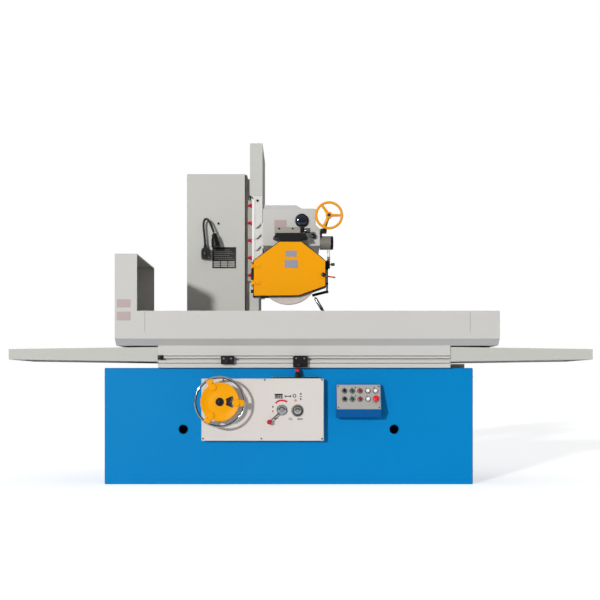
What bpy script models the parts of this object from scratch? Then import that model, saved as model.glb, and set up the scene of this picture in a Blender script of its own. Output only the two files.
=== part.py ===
"""Surface grinder: bed, sliding table, column, vertical carriage and a cross-sliding wheelhead.

Metres, +Z up. X runs along the table, +Y points away from the operator, and the origin is the
middle of the bed's underside, below the table's centreline.
"""
import math

import bmesh
import bpy
from mathutils import Matrix, Vector

# Driving dimensions, in metres.
GAP = 0.0003                                   # clearance between pieces that touch

BED_HALF_LENGTH, BED_TOP = 1.200, 0.758
BED_FRONT, BED_BACK = -0.320, 0.400
BASE_LEFT, BASE_RIGHT, BASE_BACK = -0.800, 0.320, 1.350
LIFTING_HOLE_X, LIFTING_HOLE_Z, LIFTING_HOLE_R = 0.687, 0.358, 0.031
CHANNEL_HALF, CHANNEL_FLOOR = 0.060, 0.640     # trough for the table cylinder
WAY_Y, WAY_HALF, WAY_DEPTH, FLAT_DEPTH = 0.215, 0.045, 0.045, 0.020

TABLE_LEFT, TABLE_RIGHT, TABLE_HALF_WIDTH, TABLE_TOP = -0.849, 1.050, 0.350, 0.960
TABLE_CENTRE = 0.100
CHUCK_LENGTH, CHUCK_WIDTH, CHUCK_HEIGHT = 1.250, 0.630, 0.100
TRAY_LEFT, TRAY_RIGHT, TRAY_HALF_WIDTH = -1.118, 1.358, 0.410
TRAY_BOTTOM, TRAY_SHOULDER, TRAY_TOP = 0.902, 0.945, 1.122
HOOD_RIGHT, HOOD_TOP, SHEET = -0.975, 1.491, 0.003
WING_LEFT_END, WING_RIGHT_END, WING_HALF_WIDTH = -1.819, 1.975, 0.340
CYLINDER_Z, CYLINDER_R, CYLINDER_BORE, ROD_R = 0.700, 0.048, 0.040, 0.018
CYLINDER_LEFT, CYLINDER_RIGHT, ROD_END = -1.020, 0.540, 1.184
DOG_SLOT_Z = 0.813

COLUMN_LEFT, COLUMN_RIGHT, COLUMN_TOP = -0.743, -0.307, 2.177
COLUMN_FRONT, COLUMN_BACK = 0.450, 1.150
RAIL_RIGHT, RAIL_FRONT, RAIL_BACK, RAIL_TOP = -0.223, 0.500, 1.050, 2.150
SCREW_X, SCREW_Y, SCREW_R = -0.253, 0.775, 0.020
CARRIAGE_LEFT, CARRIAGE_RIGHT = -0.271, -0.195
CARRIAGE_BOTTOM, CARRIAGE_TOP, CARRIAGE_BACK = 1.320, 2.021, 1.100
COVER_LEFT, COVER_TOP = -0.286, 2.400

WHEEL_X, WHEEL_Z, WHEEL_R = -0.003, 1.389, 0.200
WHEEL_FRONT, WHEEL_BACK, WHEEL_BORE = -0.090, -0.050, 0.0635
HEAD_LEFT, HEAD_BACK, HEAD_BOTTOM = -0.179, 1.100, 1.595
GUARD_FRONT, GUARD_SPLIT, GUARD_BACK = -0.130, -0.115, -0.0005
GUARD_OUTLINE = (
    (-0.235, 1.244), (0.064, 1.247), (0.244, 1.311), (0.244, 1.475),
    (0.212, 1.505), (0.083, 1.606), (-0.062, 1.606), (-0.235, 1.479),
)
HINGE_X, HINGE_Y = -0.246, -0.124
DRESSER_Y = -0.070
NOZZLE_Y = -0.025

PANEL_LEFT, PANEL_RIGHT, PANEL_BOTTOM, PANEL_TOP = -0.563, 0.227, 0.286, 0.688
PANEL_FRONT = -0.380
FEED_X, FEED_Z, FEED_RIM_Y = -0.437, 0.539, -0.480
HYDRAULIC_X, HYDRAULIC_Z = -0.043, 0.485
SPEED_X, SPEED_Z = 0.058, 0.481
REVERSE_X, REVERSE_Y, REVERSE_Z = 0.058, -0.361, 0.716

CONSOLE_LEFT, CONSOLE_RIGHT = 0.307, 0.595
CONSOLE_TOP, CONSOLE_FOOT = (-0.365, 0.650), (-0.430, 0.488)     # (Y, Z) of the sloping face
BUTTON_PITCH, BUTTON_FIRST_X = 0.050, 0.361
BUTTON_ROWS = (0.041, -0.016)                  # distance up the slope from the plate's middle


# ---------------------------------------------------------------- general tools

def clear_scene():
    for obj in list(bpy.data.objects):
        bpy.data.objects.remove(obj, do_unlink=True)


def new_collection(name):
    group = bpy.data.collections.new(name)
    bpy.context.scene.collection.children.link(group)
    return group


clear_scene()
PARTS = new_collection("surface_grinder")
CUTTERS = new_collection("cutters")


def linear(channel):
    return channel / 12.92 if channel <= 0.04045 else ((channel + 0.055) / 1.055) ** 2.4


def finish(name, colour, roughness, metallic=0.0):
    """A Principled material from an sRGB colour written as RRGGBB."""
    material = bpy.data.materials.new(name)
    material.use_nodes = True
    shader = material.node_tree.nodes["Principled BSDF"]
    rgb = [linear(int(colour[i:i + 2], 16) / 255.0) for i in (0, 2, 4)]
    shader.inputs["Base Color"].default_value = (*rgb, 1.0)
    shader.inputs["Roughness"].default_value = roughness
    shader.inputs["Metallic"].default_value = metallic
    return material


BED_BLUE = finish("bed_blue", "0087C7", 0.35)
PALE_GREY = finish("pale_grey", "C9C7C3", 0.45)
COLUMN_GREY = finish("column_grey", "BFBEB8", 0.45)
PANEL_BEIGE = finish("panel_beige", "D6CFC9", 0.5)
YELLOW = finish("guard_yellow", "F3A200", 0.4)
BLACK = finish("black_enamel", "141418", 0.45)
RED = finish("red_plastic", "C8102E", 0.3)
GREEN = finish("green_plastic", "1F5A3A", 0.35)
WHITE = finish("white_plastic", "F0F0EC", 0.35)
ORANGE = finish("orange_plastic", "E8602A", 0.4)
STEEL = finish("ground_steel", "9A968E", 0.3, 1.0)
CAST = finish("cast_iron", "6B6A66", 0.6, 0.8)
CHROME = finish("chrome", "C8C8C8", 0.1, 1.0)
ABRASIVE = finish("abrasive", "CFC3BB", 0.9)
MOTOR_GREY = finish("motor_grey", "8A877E", 0.45)


def smooth(mesh):
    mesh.shade_smooth()
    mesh.set_sharp_from_angle(angle=math.radians(35))


def add_object(name, mesh, material):
    """Link a mesh as a part, or as a hidden cutter when it has no material."""
    obj = bpy.data.objects.new(name, mesh)
    if material is None:
        CUTTERS.objects.link(obj)
        obj.hide_render = True
        obj.display_type = 'WIRE'
        return obj
    PARTS.objects.link(obj)
    mesh.materials.clear()
    mesh.materials.append(material)
    return obj


def soften(obj, width, segments=1):
    """Round the edges that turn by more than 30 degrees."""
    bevel = obj.modifiers.new("rounded edges", 'BEVEL')
    bevel.width = width
    bevel.segments = segments
    bevel.limit_method = 'ANGLE'
    bevel.angle_limit = math.radians(30)


def boolean(target, tools, operation):
    for tool in tools:
        modifier = target.modifiers.new(tool.name, 'BOOLEAN')
        modifier.operation = operation
        modifier.object = tool
        modifier.solver = 'EXACT'
    return target


def cut(target, *tools):
    return boolean(target, tools, 'DIFFERENCE')


def fuse(target, *tools):
    return boolean(target, tools, 'UNION')


def mesh_from(name, bm, matrix=None):
    if matrix is not None:
        bmesh.ops.transform(bm, matrix=matrix, verts=bm.verts)
    mesh = bpy.data.meshes.new(name)
    bm.to_mesh(mesh)
    bm.free()
    return mesh


def block(name, low, high, material=None, bevel=0.0):
    """A box between two corners."""
    low, high = Vector(low), Vector(high)
    bm = bmesh.new()
    bmesh.ops.create_cube(bm, size=1.0)
    matrix = Matrix.Translation((low + high) / 2) @ Matrix.Diagonal((*(high - low), 1.0))
    obj = add_object(name, mesh_from(name, bm, matrix), material)
    if bevel:
        soften(obj, bevel)
    return obj


def along(start, end):
    """A matrix that carries local Z, centred, onto the line from start to end."""
    start, end = Vector(start), Vector(end)
    turn = (end - start).to_track_quat('Z', 'Y').to_matrix().to_4x4()
    return Matrix.Translation((start + end) / 2) @ turn


def rod(name, start, end, radius, material=None, sides=20, end_radius=None):
    """A round bar, or a cone when the end has its own radius."""
    length = (Vector(end) - Vector(start)).length
    bm = bmesh.new()
    bmesh.ops.create_cone(
        bm, cap_ends=True, segments=sides, radius1=radius,
        radius2=radius if end_radius is None else end_radius, depth=length,
    )
    mesh = mesh_from(name, bm, along(start, end))
    smooth(mesh)
    return add_object(name, mesh, material)


def ball(name, centre, radius, material=None):
    bm = bmesh.new()
    bmesh.ops.create_uvsphere(bm, u_segments=12, v_segments=8, radius=radius)
    mesh = mesh_from(name, bm, Matrix.Translation(centre))
    smooth(mesh)
    return add_object(name, mesh, material)


def hoop(name, centre, major, minor, material=None):
    """A ring of round section whose axis runs along Y."""
    bpy.ops.mesh.primitive_torus_add(
        major_radius=major, minor_radius=minor, major_segments=32, minor_segments=6,
    )
    made = bpy.context.object
    mesh = made.data
    mesh.transform(Matrix.Translation(centre) @ Matrix.Rotation(math.pi / 2, 4, 'X'))
    bpy.data.objects.remove(made, do_unlink=True)
    smooth(mesh)
    return add_object(name, mesh, material)


def turned(name, profile, centre, axis, material=None, steps=24, closed=False):
    """Turn (radius, height) points, listed from the top of the outer side down, about an axis."""
    mesh = bpy.data.meshes.new(name)
    count = len(profile)
    edges = [(i, i + 1) for i in range(count - 1)] + ([(count - 1, 0)] if closed else [])
    mesh.from_pydata([(radius, 0.0, height) for radius, height in profile], edges, [])
    obj = add_object(name, mesh, material)
    obj.location = centre
    obj.rotation_mode = 'QUATERNION'
    obj.rotation_quaternion = Vector(axis).to_track_quat('Z', 'Y')
    screw = obj.modifiers.new("turning", 'SCREW')
    screw.axis = 'Z'
    screw.steps = screw.render_steps = steps
    screw.use_merge_vertices = True
    screw.merge_threshold = 0.00001
    screw.use_smooth_shade = True
    return obj


def evaluated_mesh(obj, name):
    """The welded mesh of a curve object, which is then removed."""
    bpy.context.view_layer.update()
    graph = bpy.context.evaluated_depsgraph_get()
    mesh = bpy.data.meshes.new_from_object(obj.evaluated_get(graph))
    mesh.transform(obj.matrix_world)
    mesh.name = name
    bpy.data.objects.remove(obj, do_unlink=True)
    bm = bmesh.new()
    bm.from_mesh(mesh)
    bmesh.ops.remove_doubles(bm, verts=bm.verts, dist=0.00001)
    bmesh.ops.recalc_face_normals(bm, faces=bm.faces)
    bm.to_mesh(mesh)
    bm.free()
    return mesh


PLANES = {
    'X': Matrix(((0, 0, 1), (1, 0, 0), (0, 1, 0))),      # outline in (Y, Z)
    'Y': Matrix(((1, 0, 0), (0, 0, -1), (0, 1, 0))),     # outline in (X, Z)
    'Z': Matrix.Identity(3),                             # outline in (X, Y)
}


def prism(name, outline, axis, low, high, material=None, bevel=0.0):
    """A flat outline pushed along X, Y or Z from low to high."""
    curve = bpy.data.curves.new(name, 'CURVE')
    curve.dimensions = '2D'
    curve.fill_mode = 'BOTH'
    curve.extrude = (high - low) / 2
    spline = curve.splines.new('POLY')
    spline.points.add(len(outline) - 1)
    for point, (u, v) in zip(spline.points, outline):
        point.co = (u, v, 0.0, 1.0)
    spline.use_cyclic_u = True
    guide = bpy.data.objects.new(name, curve)
    PARTS.objects.link(guide)
    offset = Vector(((low + high) / 2 if axis == key else 0.0 for key in 'XYZ'))
    guide.matrix_world = Matrix.Translation(offset) @ PLANES[axis].to_4x4()
    obj = add_object(name, evaluated_mesh(guide, name), material)
    if bevel:
        soften(obj, bevel)
    return obj


def smooth_route(points, steps=3):
    """Points on a smooth curve (Catmull-Rom) through a pipe's own points."""
    knots = [Vector(p) for p in points]
    knots = [2 * knots[0] - knots[1]] + knots + [2 * knots[-1] - knots[-2]]
    route = []
    for a, b, c, d in zip(knots, knots[1:], knots[2:], knots[3:]):
        for step in range(steps):
            t = step / steps
            route.append(0.5 * (2 * b + (c - a) * t + (2 * a - 5 * b + 4 * c - d) * t ** 2
                                + (3 * b - a - 3 * c + d) * t ** 3))
    return route + [knots[-2]]


def pipe(name, points, radius, material=None):
    """A round pipe along a smooth route."""
    curve = bpy.data.curves.new(name, 'CURVE')
    curve.dimensions = '3D'
    curve.bevel_depth = radius
    curve.bevel_resolution = 2
    curve.use_fill_caps = True
    route = smooth_route(points)
    spline = curve.splines.new('POLY')
    spline.points.add(len(route) - 1)
    for point, place in zip(spline.points, route):
        point.co = (*place, 1.0)
    guide = bpy.data.objects.new(name, curve)
    PARTS.objects.link(guide)
    mesh = evaluated_mesh(guide, name)
    smooth(mesh)
    return add_object(name, mesh, material)


def arc(centre, radius, start, end, steps):
    """Points round an arc, with the angles in degrees."""
    angles = [math.radians(start + (end - start) * i / steps) for i in range(steps + 1)]
    return [(centre[0] + radius * math.cos(a), centre[1] + radius * math.sin(a)) for a in angles]


def grown(outline, distance):
    """A convex outline, listed anticlockwise, with every side moved outwards."""
    points = [Vector(p) for p in outline]
    result = []
    for before, here, after in zip(points[-1:] + points[:-1], points, points[1:] + points[:1]):
        first = (here - before).normalized()
        second = (after - here).normalized()
        normals = Vector((first.y, -first.x)), Vector((second.y, -second.x))
        corner = (normals[0] + normals[1]) / (1 + normals[0].dot(normals[1]))
        result.append(tuple(here + distance * corner))
    return result


def moving(name, origin, pieces, parent=None):
    """An empty on the joint's axis that carries one moving body."""
    empty = bpy.data.objects.new("body_" + name, None)
    PARTS.objects.link(empty)
    empty.location = origin
    if parent is not None:
        empty.parent = parent
        empty.matrix_parent_inverse = Matrix.Translation(-world_place(parent))
    for piece in pieces:
        piece.parent = empty
        piece.matrix_parent_inverse = Matrix.Translation(-Vector(origin))
    return empty


def world_place(empty):
    """Where an empty stands: its own location is already written in world terms."""
    return Vector(empty.location)


# ---------------------------------------------------------------- bed and column

def build_bed():
    plan = (
        (-BED_HALF_LENGTH, BED_FRONT), (BED_HALF_LENGTH, BED_FRONT), (BED_HALF_LENGTH, BED_BACK),
        (BASE_RIGHT, BED_BACK), (BASE_RIGHT, BASE_BACK), (BASE_LEFT, BASE_BACK),
        (BASE_LEFT, BED_BACK), (-BED_HALF_LENGTH, BED_BACK),
    )
    bed = prism("bed", plan, 'Z', 0.0, BED_TOP, BED_BLUE, bevel=0.005)
    wall, rib, pocket_top = 0.025, 0.050, 0.600
    pitch = (2 * BED_HALF_LENGTH - 2 * wall + rib) / 4
    for bay in range(4):
        left = -BED_HALF_LENGTH + wall + bay * pitch
        cut(bed, block(f"bed_bay_{bay}", (left, BED_FRONT + wall, -0.01),
                       (left + pitch - rib, BED_BACK - wall, pocket_top)))
    middle = (BASE_LEFT + BASE_RIGHT) / 2
    for bay, (left, right) in enumerate(((BASE_LEFT + wall, middle - rib / 2),
                                         (middle + rib / 2, BASE_RIGHT - wall))):
        cut(bed, block(f"base_bay_{bay}", (left, BED_BACK + wall, -0.01),
                       (right, BASE_BACK - wall, pocket_top + 0.1)))
    for side in (-1, 1):
        x = side * LIFTING_HOLE_X
        cut(bed, rod(f"lifting_hole_{side}", (x, BED_FRONT - 0.02, LIFTING_HOLE_Z),
                     (x, BASE_BACK + 0.02, LIFTING_HOLE_Z), LIFTING_HOLE_R))
    cut(bed, block("cylinder_channel", (-BED_HALF_LENGTH - 0.01, -CHANNEL_HALF, CHANNEL_FLOOR),
                   (ROD_END + 0.001, CHANNEL_HALF, BED_TOP + 0.01)))
    cut(bed, prism("vee_groove", vee_way(0.0), 'X', -1.3, 1.3))
    cut(bed, block("flat_groove", (-1.3, WAY_Y - WAY_HALF, BED_TOP - FLAT_DEPTH),
                   (1.3, WAY_Y + WAY_HALF, BED_TOP + 0.01)))
    return bed


def vee_way(lift):
    """The vee of the front way in (Y, Z), raised a little for the table's own vee."""
    top = BED_TOP + lift
    return (
        (-WAY_Y - WAY_HALF, top + 0.012), (-WAY_Y - WAY_HALF, top), (-WAY_Y, top - WAY_DEPTH),
        (-WAY_Y + WAY_HALF, top), (-WAY_Y + WAY_HALF, top + 0.012),
    )


def build_column():
    floor = BED_TOP + GAP
    wall, plate = 0.030, 0.015
    column = block("column", (COLUMN_LEFT, COLUMN_FRONT + plate, floor),
                   (COLUMN_RIGHT, COLUMN_BACK, COLUMN_TOP), COLUMN_GREY, bevel=0.003)
    cut(column, block("column_hollow", (COLUMN_LEFT + wall, COLUMN_FRONT + plate + wall, floor - 0.01),
                      (COLUMN_RIGHT - wall, COLUMN_BACK - wall, COLUMN_TOP - wall)))
    block("column_front_cover", (COLUMN_LEFT, COLUMN_FRONT, floor),
          (COLUMN_RIGHT - plate, COLUMN_FRONT + plate - GAP, COLUMN_TOP), COLUMN_GREY, bevel=0.002)
    way = block("column_way", (COLUMN_RIGHT + GAP, RAIL_FRONT, floor),
                (RAIL_RIGHT, RAIL_BACK, RAIL_TOP), COLUMN_GREY, bevel=0.002)
    cut(way, block("screw_slot", (SCREW_X - 0.030, SCREW_Y - 0.030, floor + 0.042),
                   (RAIL_RIGHT + 0.010, SCREW_Y + 0.030, RAIL_TOP - 0.010)))


def build_elevating_screw():
    screw = rod("elevating_screw", (SCREW_X, SCREW_Y, 0.803), (SCREW_X, SCREW_Y, 2.137), SCREW_R, STEEL)
    return moving("elevating_screw", (SCREW_X, SCREW_Y, WHEEL_Z), [screw])


# ---------------------------------------------------------------- table

def build_table():
    under = BED_TOP + GAP
    half = TABLE_HALF_WIDTH
    table = block("table", (TABLE_LEFT, -half, under), (TABLE_RIGHT, half, TABLE_TOP), PALE_GREY,
                  bevel=0.002)
    fuse(table, prism("table_vee", vee_way(GAP), 'X', TABLE_LEFT + 0.002, TABLE_RIGHT - 0.002))
    fuse(table, block("table_flat", (TABLE_LEFT + 0.002, WAY_Y - WAY_HALF + GAP, under - FLAT_DEPTH),
                      (TABLE_RIGHT - 0.002, WAY_Y + WAY_HALF - GAP, under + 0.012)))
    cut(table, block("table_tunnel", (TABLE_LEFT - 0.1, -0.140, under - 0.1),
                     (TABLE_RIGHT + 0.1, 0.140, 0.900)))
    ends = (TABLE_LEFT - 0.01, TABLE_RIGHT + 0.01)
    cut(table, block("dog_slot_neck", (ends[0], -half - 0.01, DOG_SLOT_Z - 0.007),
                     (ends[1], -half + 0.011, DOG_SLOT_Z + 0.007)))
    cut(table, block("dog_slot_head", (ends[0], -half + 0.010, DOG_SLOT_Z - 0.015),
                     (ends[1], -half + 0.022, DOG_SLOT_Z + 0.015)))
    for number, y in enumerate((-0.200, 0.0, 0.200)):
        cut(table, block(f"tee_neck_{number}", (ends[0], y - 0.009, TABLE_TOP - 0.020),
                         (ends[1], y + 0.009, TABLE_TOP + 0.01)))
        cut(table, block(f"tee_head_{number}", (ends[0], y - 0.016, TABLE_TOP - 0.034),
                         (ends[1], y + 0.016, TABLE_TOP - 0.019)))
    chuck = block(
        "magnetic_chuck", (TABLE_CENTRE - CHUCK_LENGTH / 2, -CHUCK_WIDTH / 2, TABLE_TOP + GAP),
        (TABLE_CENTRE + CHUCK_LENGTH / 2, CHUCK_WIDTH / 2, TABLE_TOP + CHUCK_HEIGHT), STEEL, bevel=0.002)
    pieces = [table, chuck, build_tray(), build_hood(), build_table_cylinder()]
    pieces += [build_wing("wing_left", TABLE_LEFT - GAP, WING_LEFT_END),
               build_wing("wing_right", TABLE_RIGHT + GAP, WING_RIGHT_END)]
    table_body = moving("table", (0.0, 0.0, BED_TOP), pieces)
    build_trip_dog("trip_dog_left", -0.437, -0.353, 0.782, table_body)
    build_trip_dog("trip_dog_right", 0.028, 0.122, 0.761, table_body)


def tray_section(inset, top):
    """The splash tray's outline in (Y, Z): upright walls over a chamfered edge."""
    side, foot = TRAY_HALF_WIDTH - inset, TABLE_HALF_WIDTH - inset * 0.45
    return (
        (-side, top), (-side, TRAY_SHOULDER + inset * 0.5), (-foot, TRAY_BOTTOM + inset),
        (foot, TRAY_BOTTOM + inset), (side, TRAY_SHOULDER + inset * 0.5), (side, top),
    )


def build_tray():
    tray = prism("tray", tray_section(0.0, TRAY_TOP), 'X', TRAY_LEFT, TRAY_RIGHT, PALE_GREY)
    cut(tray, prism("tray_hollow", tray_section(SHEET, TRAY_TOP + 0.05), 'X',
                    TRAY_LEFT + SHEET, TRAY_RIGHT - SHEET))
    cut(tray, block("tray_seat", (TABLE_LEFT - GAP, -TABLE_HALF_WIDTH - GAP, TRAY_BOTTOM - 0.05),
                    (TABLE_RIGHT + GAP, TABLE_HALF_WIDTH + GAP, TRAY_TOP)))
    return tray


def build_hood():
    """The splash hood at the table's left end, open towards the wheel and over the tray."""
    half = TRAY_HALF_WIDTH
    hood = block("splash_hood", (TRAY_LEFT, -half, TRAY_TOP + GAP), (HOOD_RIGHT, half, HOOD_TOP), PALE_GREY)
    return cut(hood, block("hood_hollow", (TRAY_LEFT + SHEET, -half + SHEET, TRAY_TOP - 0.1),
                           (HOOD_RIGHT + 0.1, half - SHEET, HOOD_TOP - SHEET)))


def build_wing(name, inner, outer):
    """A tapering way cover, folded from sheet and open underneath."""
    out = 1 if outer > inner else -1
    wall = 0.004
    wing = prism(name, ((inner, 0.798), (inner, 0.894), (outer, 0.880), (outer, 0.812)), 'Y',
                 -WING_HALF_WIDTH, WING_HALF_WIDTH, COLUMN_GREY, bevel=0.0015)
    inside = ((inner + out * wall, 0.780), (inner + out * wall, 0.894 - wall),
              (outer - out * wall, 0.880 - wall), (outer - out * wall, 0.780))
    return cut(wing, prism(name + "_hollow", inside, 'Y', -WING_HALF_WIDTH + wall, WING_HALF_WIDTH - wall))


def build_table_cylinder():
    cylinder = rod("table_cylinder", (CYLINDER_LEFT, 0, CYLINDER_Z), (CYLINDER_RIGHT, 0, CYLINDER_Z),
                   CYLINDER_R, STEEL, sides=32)
    for side, left in (("left", -0.830), ("right", 0.380)):
        fuse(cylinder, block(f"cylinder_lug_{side}", (left, -0.040, CYLINDER_Z), (left + 0.040, 0.040, 0.8997)))
    cut(cylinder, rod("cylinder_bore", (CYLINDER_LEFT + 0.030, 0, CYLINDER_Z),
                      (CYLINDER_RIGHT - 0.040, 0, CYLINDER_Z), CYLINDER_BORE, sides=32))
    return cut(cylinder, rod("gland", (CYLINDER_RIGHT - 0.05, 0, CYLINDER_Z),
                             (CYLINDER_RIGHT + 0.01, 0, CYLINDER_Z), ROD_R + GAP, sides=32))


def build_piston_rod():
    """Piston, rod and the bracket that ties the rod to the bed's right end."""
    end = ROD_END - 0.010
    piston = rod("piston_rod", (-0.375, 0, CYLINDER_Z), (-0.315, 0, CYLINDER_Z), CYLINDER_BORE - 0.0005,
                 STEEL, sides=32)
    fuse(piston, rod("rod_shank", (-0.330, 0, CYLINDER_Z), (end, 0, CYLINDER_Z), ROD_R, sides=32))
    fuse(piston, block("rod_leg", (1.150, -0.0595, 0.645), (ROD_END, 0.0595, 0.780)))
    fuse(piston, block("rod_plate", (1.030, -0.080, BED_TOP + GAP), (ROD_END, 0.080, 0.788)))


def build_trip_dog(name, left, right, bottom, parent):
    """A stop block clamped in the table's front slot."""
    top, face = 0.834, -TABLE_HALF_WIDTH - GAP
    dog = block(name, (left, face - 0.035, bottom), (right, face, top), BLACK, bevel=0.003)
    fuse(dog, block(name + "_neck", (left + 0.012, face - 0.010, DOG_SLOT_Z - 0.0067),
                    (right - 0.012, face + 0.0135, DOG_SLOT_Z + 0.0067)))
    fuse(dog, block(name + "_head", (left + 0.012, face + 0.0107, DOG_SLOT_Z - 0.0145),
                    (right - 0.012, face + 0.0215, DOG_SLOT_Z + 0.0145)))
    moving(name, ((left + right) / 2, face, DOG_SLOT_Z), [dog], parent)


# ---------------------------------------------------------------- carriage

def build_carriage():
    rail_right = RAIL_RIGHT + GAP
    plan = (
        (CARRIAGE_LEFT, COLUMN_FRONT), (CARRIAGE_RIGHT, COLUMN_FRONT), (CARRIAGE_RIGHT, CARRIAGE_BACK),
        (CARRIAGE_LEFT, CARRIAGE_BACK), (CARRIAGE_LEFT, RAIL_BACK + GAP),
        (rail_right, RAIL_BACK + GAP), (rail_right, RAIL_FRONT - GAP),
        (CARRIAGE_LEFT, RAIL_FRONT - GAP),
    )
    carriage = prism("carriage", plan, 'Z', CARRIAGE_BOTTOM, CARRIAGE_TOP, PALE_GREY, bevel=0.0015)
    fuse(carriage, prism("cross_rail", cross_rail(), 'Y', COLUMN_FRONT, CARRIAGE_BACK))
    fuse(carriage, block("nut", (SCREW_X - 0.026, SCREW_Y - 0.0265, 1.560),
                         (rail_right + 0.005, SCREW_Y + 0.0265, 1.680)))
    cut(carriage, rod("nut_thread", (SCREW_X, SCREW_Y, 1.5), (SCREW_X, SCREW_Y, 1.75), SCREW_R + GAP))
    fuse(carriage, block("edge_strip", (CARRIAGE_LEFT + 0.001, COLUMN_FRONT - 0.004, CARRIAGE_BOTTOM + 0.01),
                         (CARRIAGE_LEFT + 0.020, COLUMN_FRONT + 0.002, CARRIAGE_TOP - 0.02)))
    for number, z in enumerate((1.801, 1.722, 1.638)):
        notch = ((-0.246, z - 0.020), (-0.203, z - 0.020), (-0.203, z + 0.022))
        cut(carriage, prism(f"notch_{number}", notch, 'Y', COLUMN_FRONT - 0.01, COLUMN_FRONT + 0.026))
    return moving("carriage", (CARRIAGE_RIGHT, SCREW_Y, WHEEL_Z),
                  [carriage, build_lube_manifold(), build_way_cover()])


def cross_rail():
    """The dovetail that the wheelhead slides on, in (X, Z)."""
    left, face, tip = CARRIAGE_RIGHT - 0.002, HEAD_LEFT - GAP, -0.145
    return (
        (left, 1.640), (face, 1.640), (face, 1.670), (tip, 1.650),
        (tip, 1.810), (face, 1.790), (face, 1.820), (left, 1.820),
    )


def build_lube_manifold():
    left, right = COLUMN_RIGHT + 0.0035, CARRIAGE_LEFT - GAP
    bar = block("lube_manifold", (left, 0.470, 1.400), (right, 0.488, 1.990), STEEL, bevel=0.001)
    for number in range(5):
        z = 1.444 + number * 0.1265
        fuse(bar, rod(f"lube_cap_{number}", (left, 0.463, z), (right, 0.463, z), 0.006, sides=12,
                      end_radius=0.014))
    return bar


def build_way_cover():
    """The tall cover over the ways, folded as a U and closed at the top."""
    front, back = COLUMN_FRONT, CARRIAGE_BACK
    cover = block("way_cover_upper", (COVER_LEFT, front, CARRIAGE_TOP + GAP),
                  (CARRIAGE_RIGHT, back, COVER_TOP), COLUMN_GREY)
    cut(cover, block("cover_hollow", (COVER_LEFT + SHEET, front + SHEET, CARRIAGE_TOP - 0.05),
                     (CARRIAGE_RIGHT - SHEET, back - SHEET, COVER_TOP - SHEET)))
    return cut(cover, block("cover_side", (COVER_LEFT - 0.01, front + SHEET, CARRIAGE_TOP - 0.05),
                            (COVER_LEFT + 0.01, back - SHEET, 2.250)))


# ---------------------------------------------------------------- wheelhead

def at_spindle(y):
    return (WHEEL_X, y, WHEEL_Z)


def build_wheelhead():
    front = (
        (HEAD_LEFT, HEAD_BOTTOM), (0.212, HEAD_BOTTOM), (0.212, 1.712), (0.182, 1.740),
        (0.182, 1.850), (HEAD_LEFT, 1.850),
    )
    head = prism("wheelhead", front, 'Y', 0.0, HEAD_BACK, PALE_GREY, bevel=0.003)
    raised = ((HEAD_LEFT, 1.840), (0.100, 1.840), (0.100, 1.912), (0.050, 1.942), (HEAD_LEFT, 1.942))
    fuse(head, prism("raised_back", raised, 'Y', 0.400, HEAD_BACK))
    fuse(head, rod("spindle_housing", at_spindle(0.0), at_spindle(0.640), 0.100, sides=32))
    fuse(head, block("housing_neck", (-0.095, 0.020, WHEEL_Z), (0.089, 0.640, HEAD_BOTTOM + 0.005)))
    cut(head, rod("spindle_bore", at_spindle(-0.01), at_spindle(0.650), 0.040, sides=32))
    cut(head, prism("dovetail_slot", (
        (-0.190, 1.6696), (HEAD_LEFT, 1.6696), (-0.1446, 1.6495),
        (-0.1446, 1.8105), (HEAD_LEFT, 1.7904), (-0.190, 1.7904)), 'Y', 0.010, HEAD_BACK + 0.01))
    cut(head, block("gear_space", (-0.130, 0.040, 1.640), (0.165, HEAD_BACK + 0.01, 1.815)))
    cut(head, block("upper_space", (-0.150, 0.430, 1.800), (0.080, HEAD_BACK + 0.01, 1.915)))
    cut(head, rod("knob_hole", (0.167, -0.01, 1.660), (0.167, 0.020, 1.660), 0.0063))
    back_plate = ((-0.140, 1.610), (0.200, 1.610), (0.200, 1.706), (0.170, 1.734), (0.170, 1.850),
                  (0.088, 1.850), (0.088, 1.907), (0.045, 1.930), (-0.140, 1.930))
    cover = prism("head_rear_cover", back_plate, 'Y', HEAD_BACK + GAP, HEAD_BACK + 0.006, PALE_GREY,
                  bevel=0.001)
    motor = rod("spindle_motor", at_spindle(0.640 + GAP), at_spindle(1.060), 0.105, MOTOR_GREY, sides=32)
    cut(motor, rod("coupling_space", at_spindle(0.6), at_spindle(0.685), 0.060))
    pieces = [head, cover, motor]
    for name, y in (("spindle_bearing_front", 0.030), ("spindle_bearing_rear", 0.560)):
        race = ((0.0397, 0.050), (0.0397, 0.0), (0.0254, 0.0), (0.0254, 0.050))
        pieces.append(turned(name, race, at_spindle(y), (0, 1, 0), STEEL, closed=True))
    glass = ((0.0, 0.024), (0.026, 0.023), (0.038, 0.020), (0.046, 0.014), (0.046, 0.0), (0.0, 0.0))
    pieces.append(turned("sight_glass", glass, (0.087, -GAP, 1.767), (0, -1, 0), BLACK))
    pieces += [build_guard_casing(), build_dresser_base(), build_crossfeed_motor()]
    pieces += build_coolant_line()
    return pieces


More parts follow.
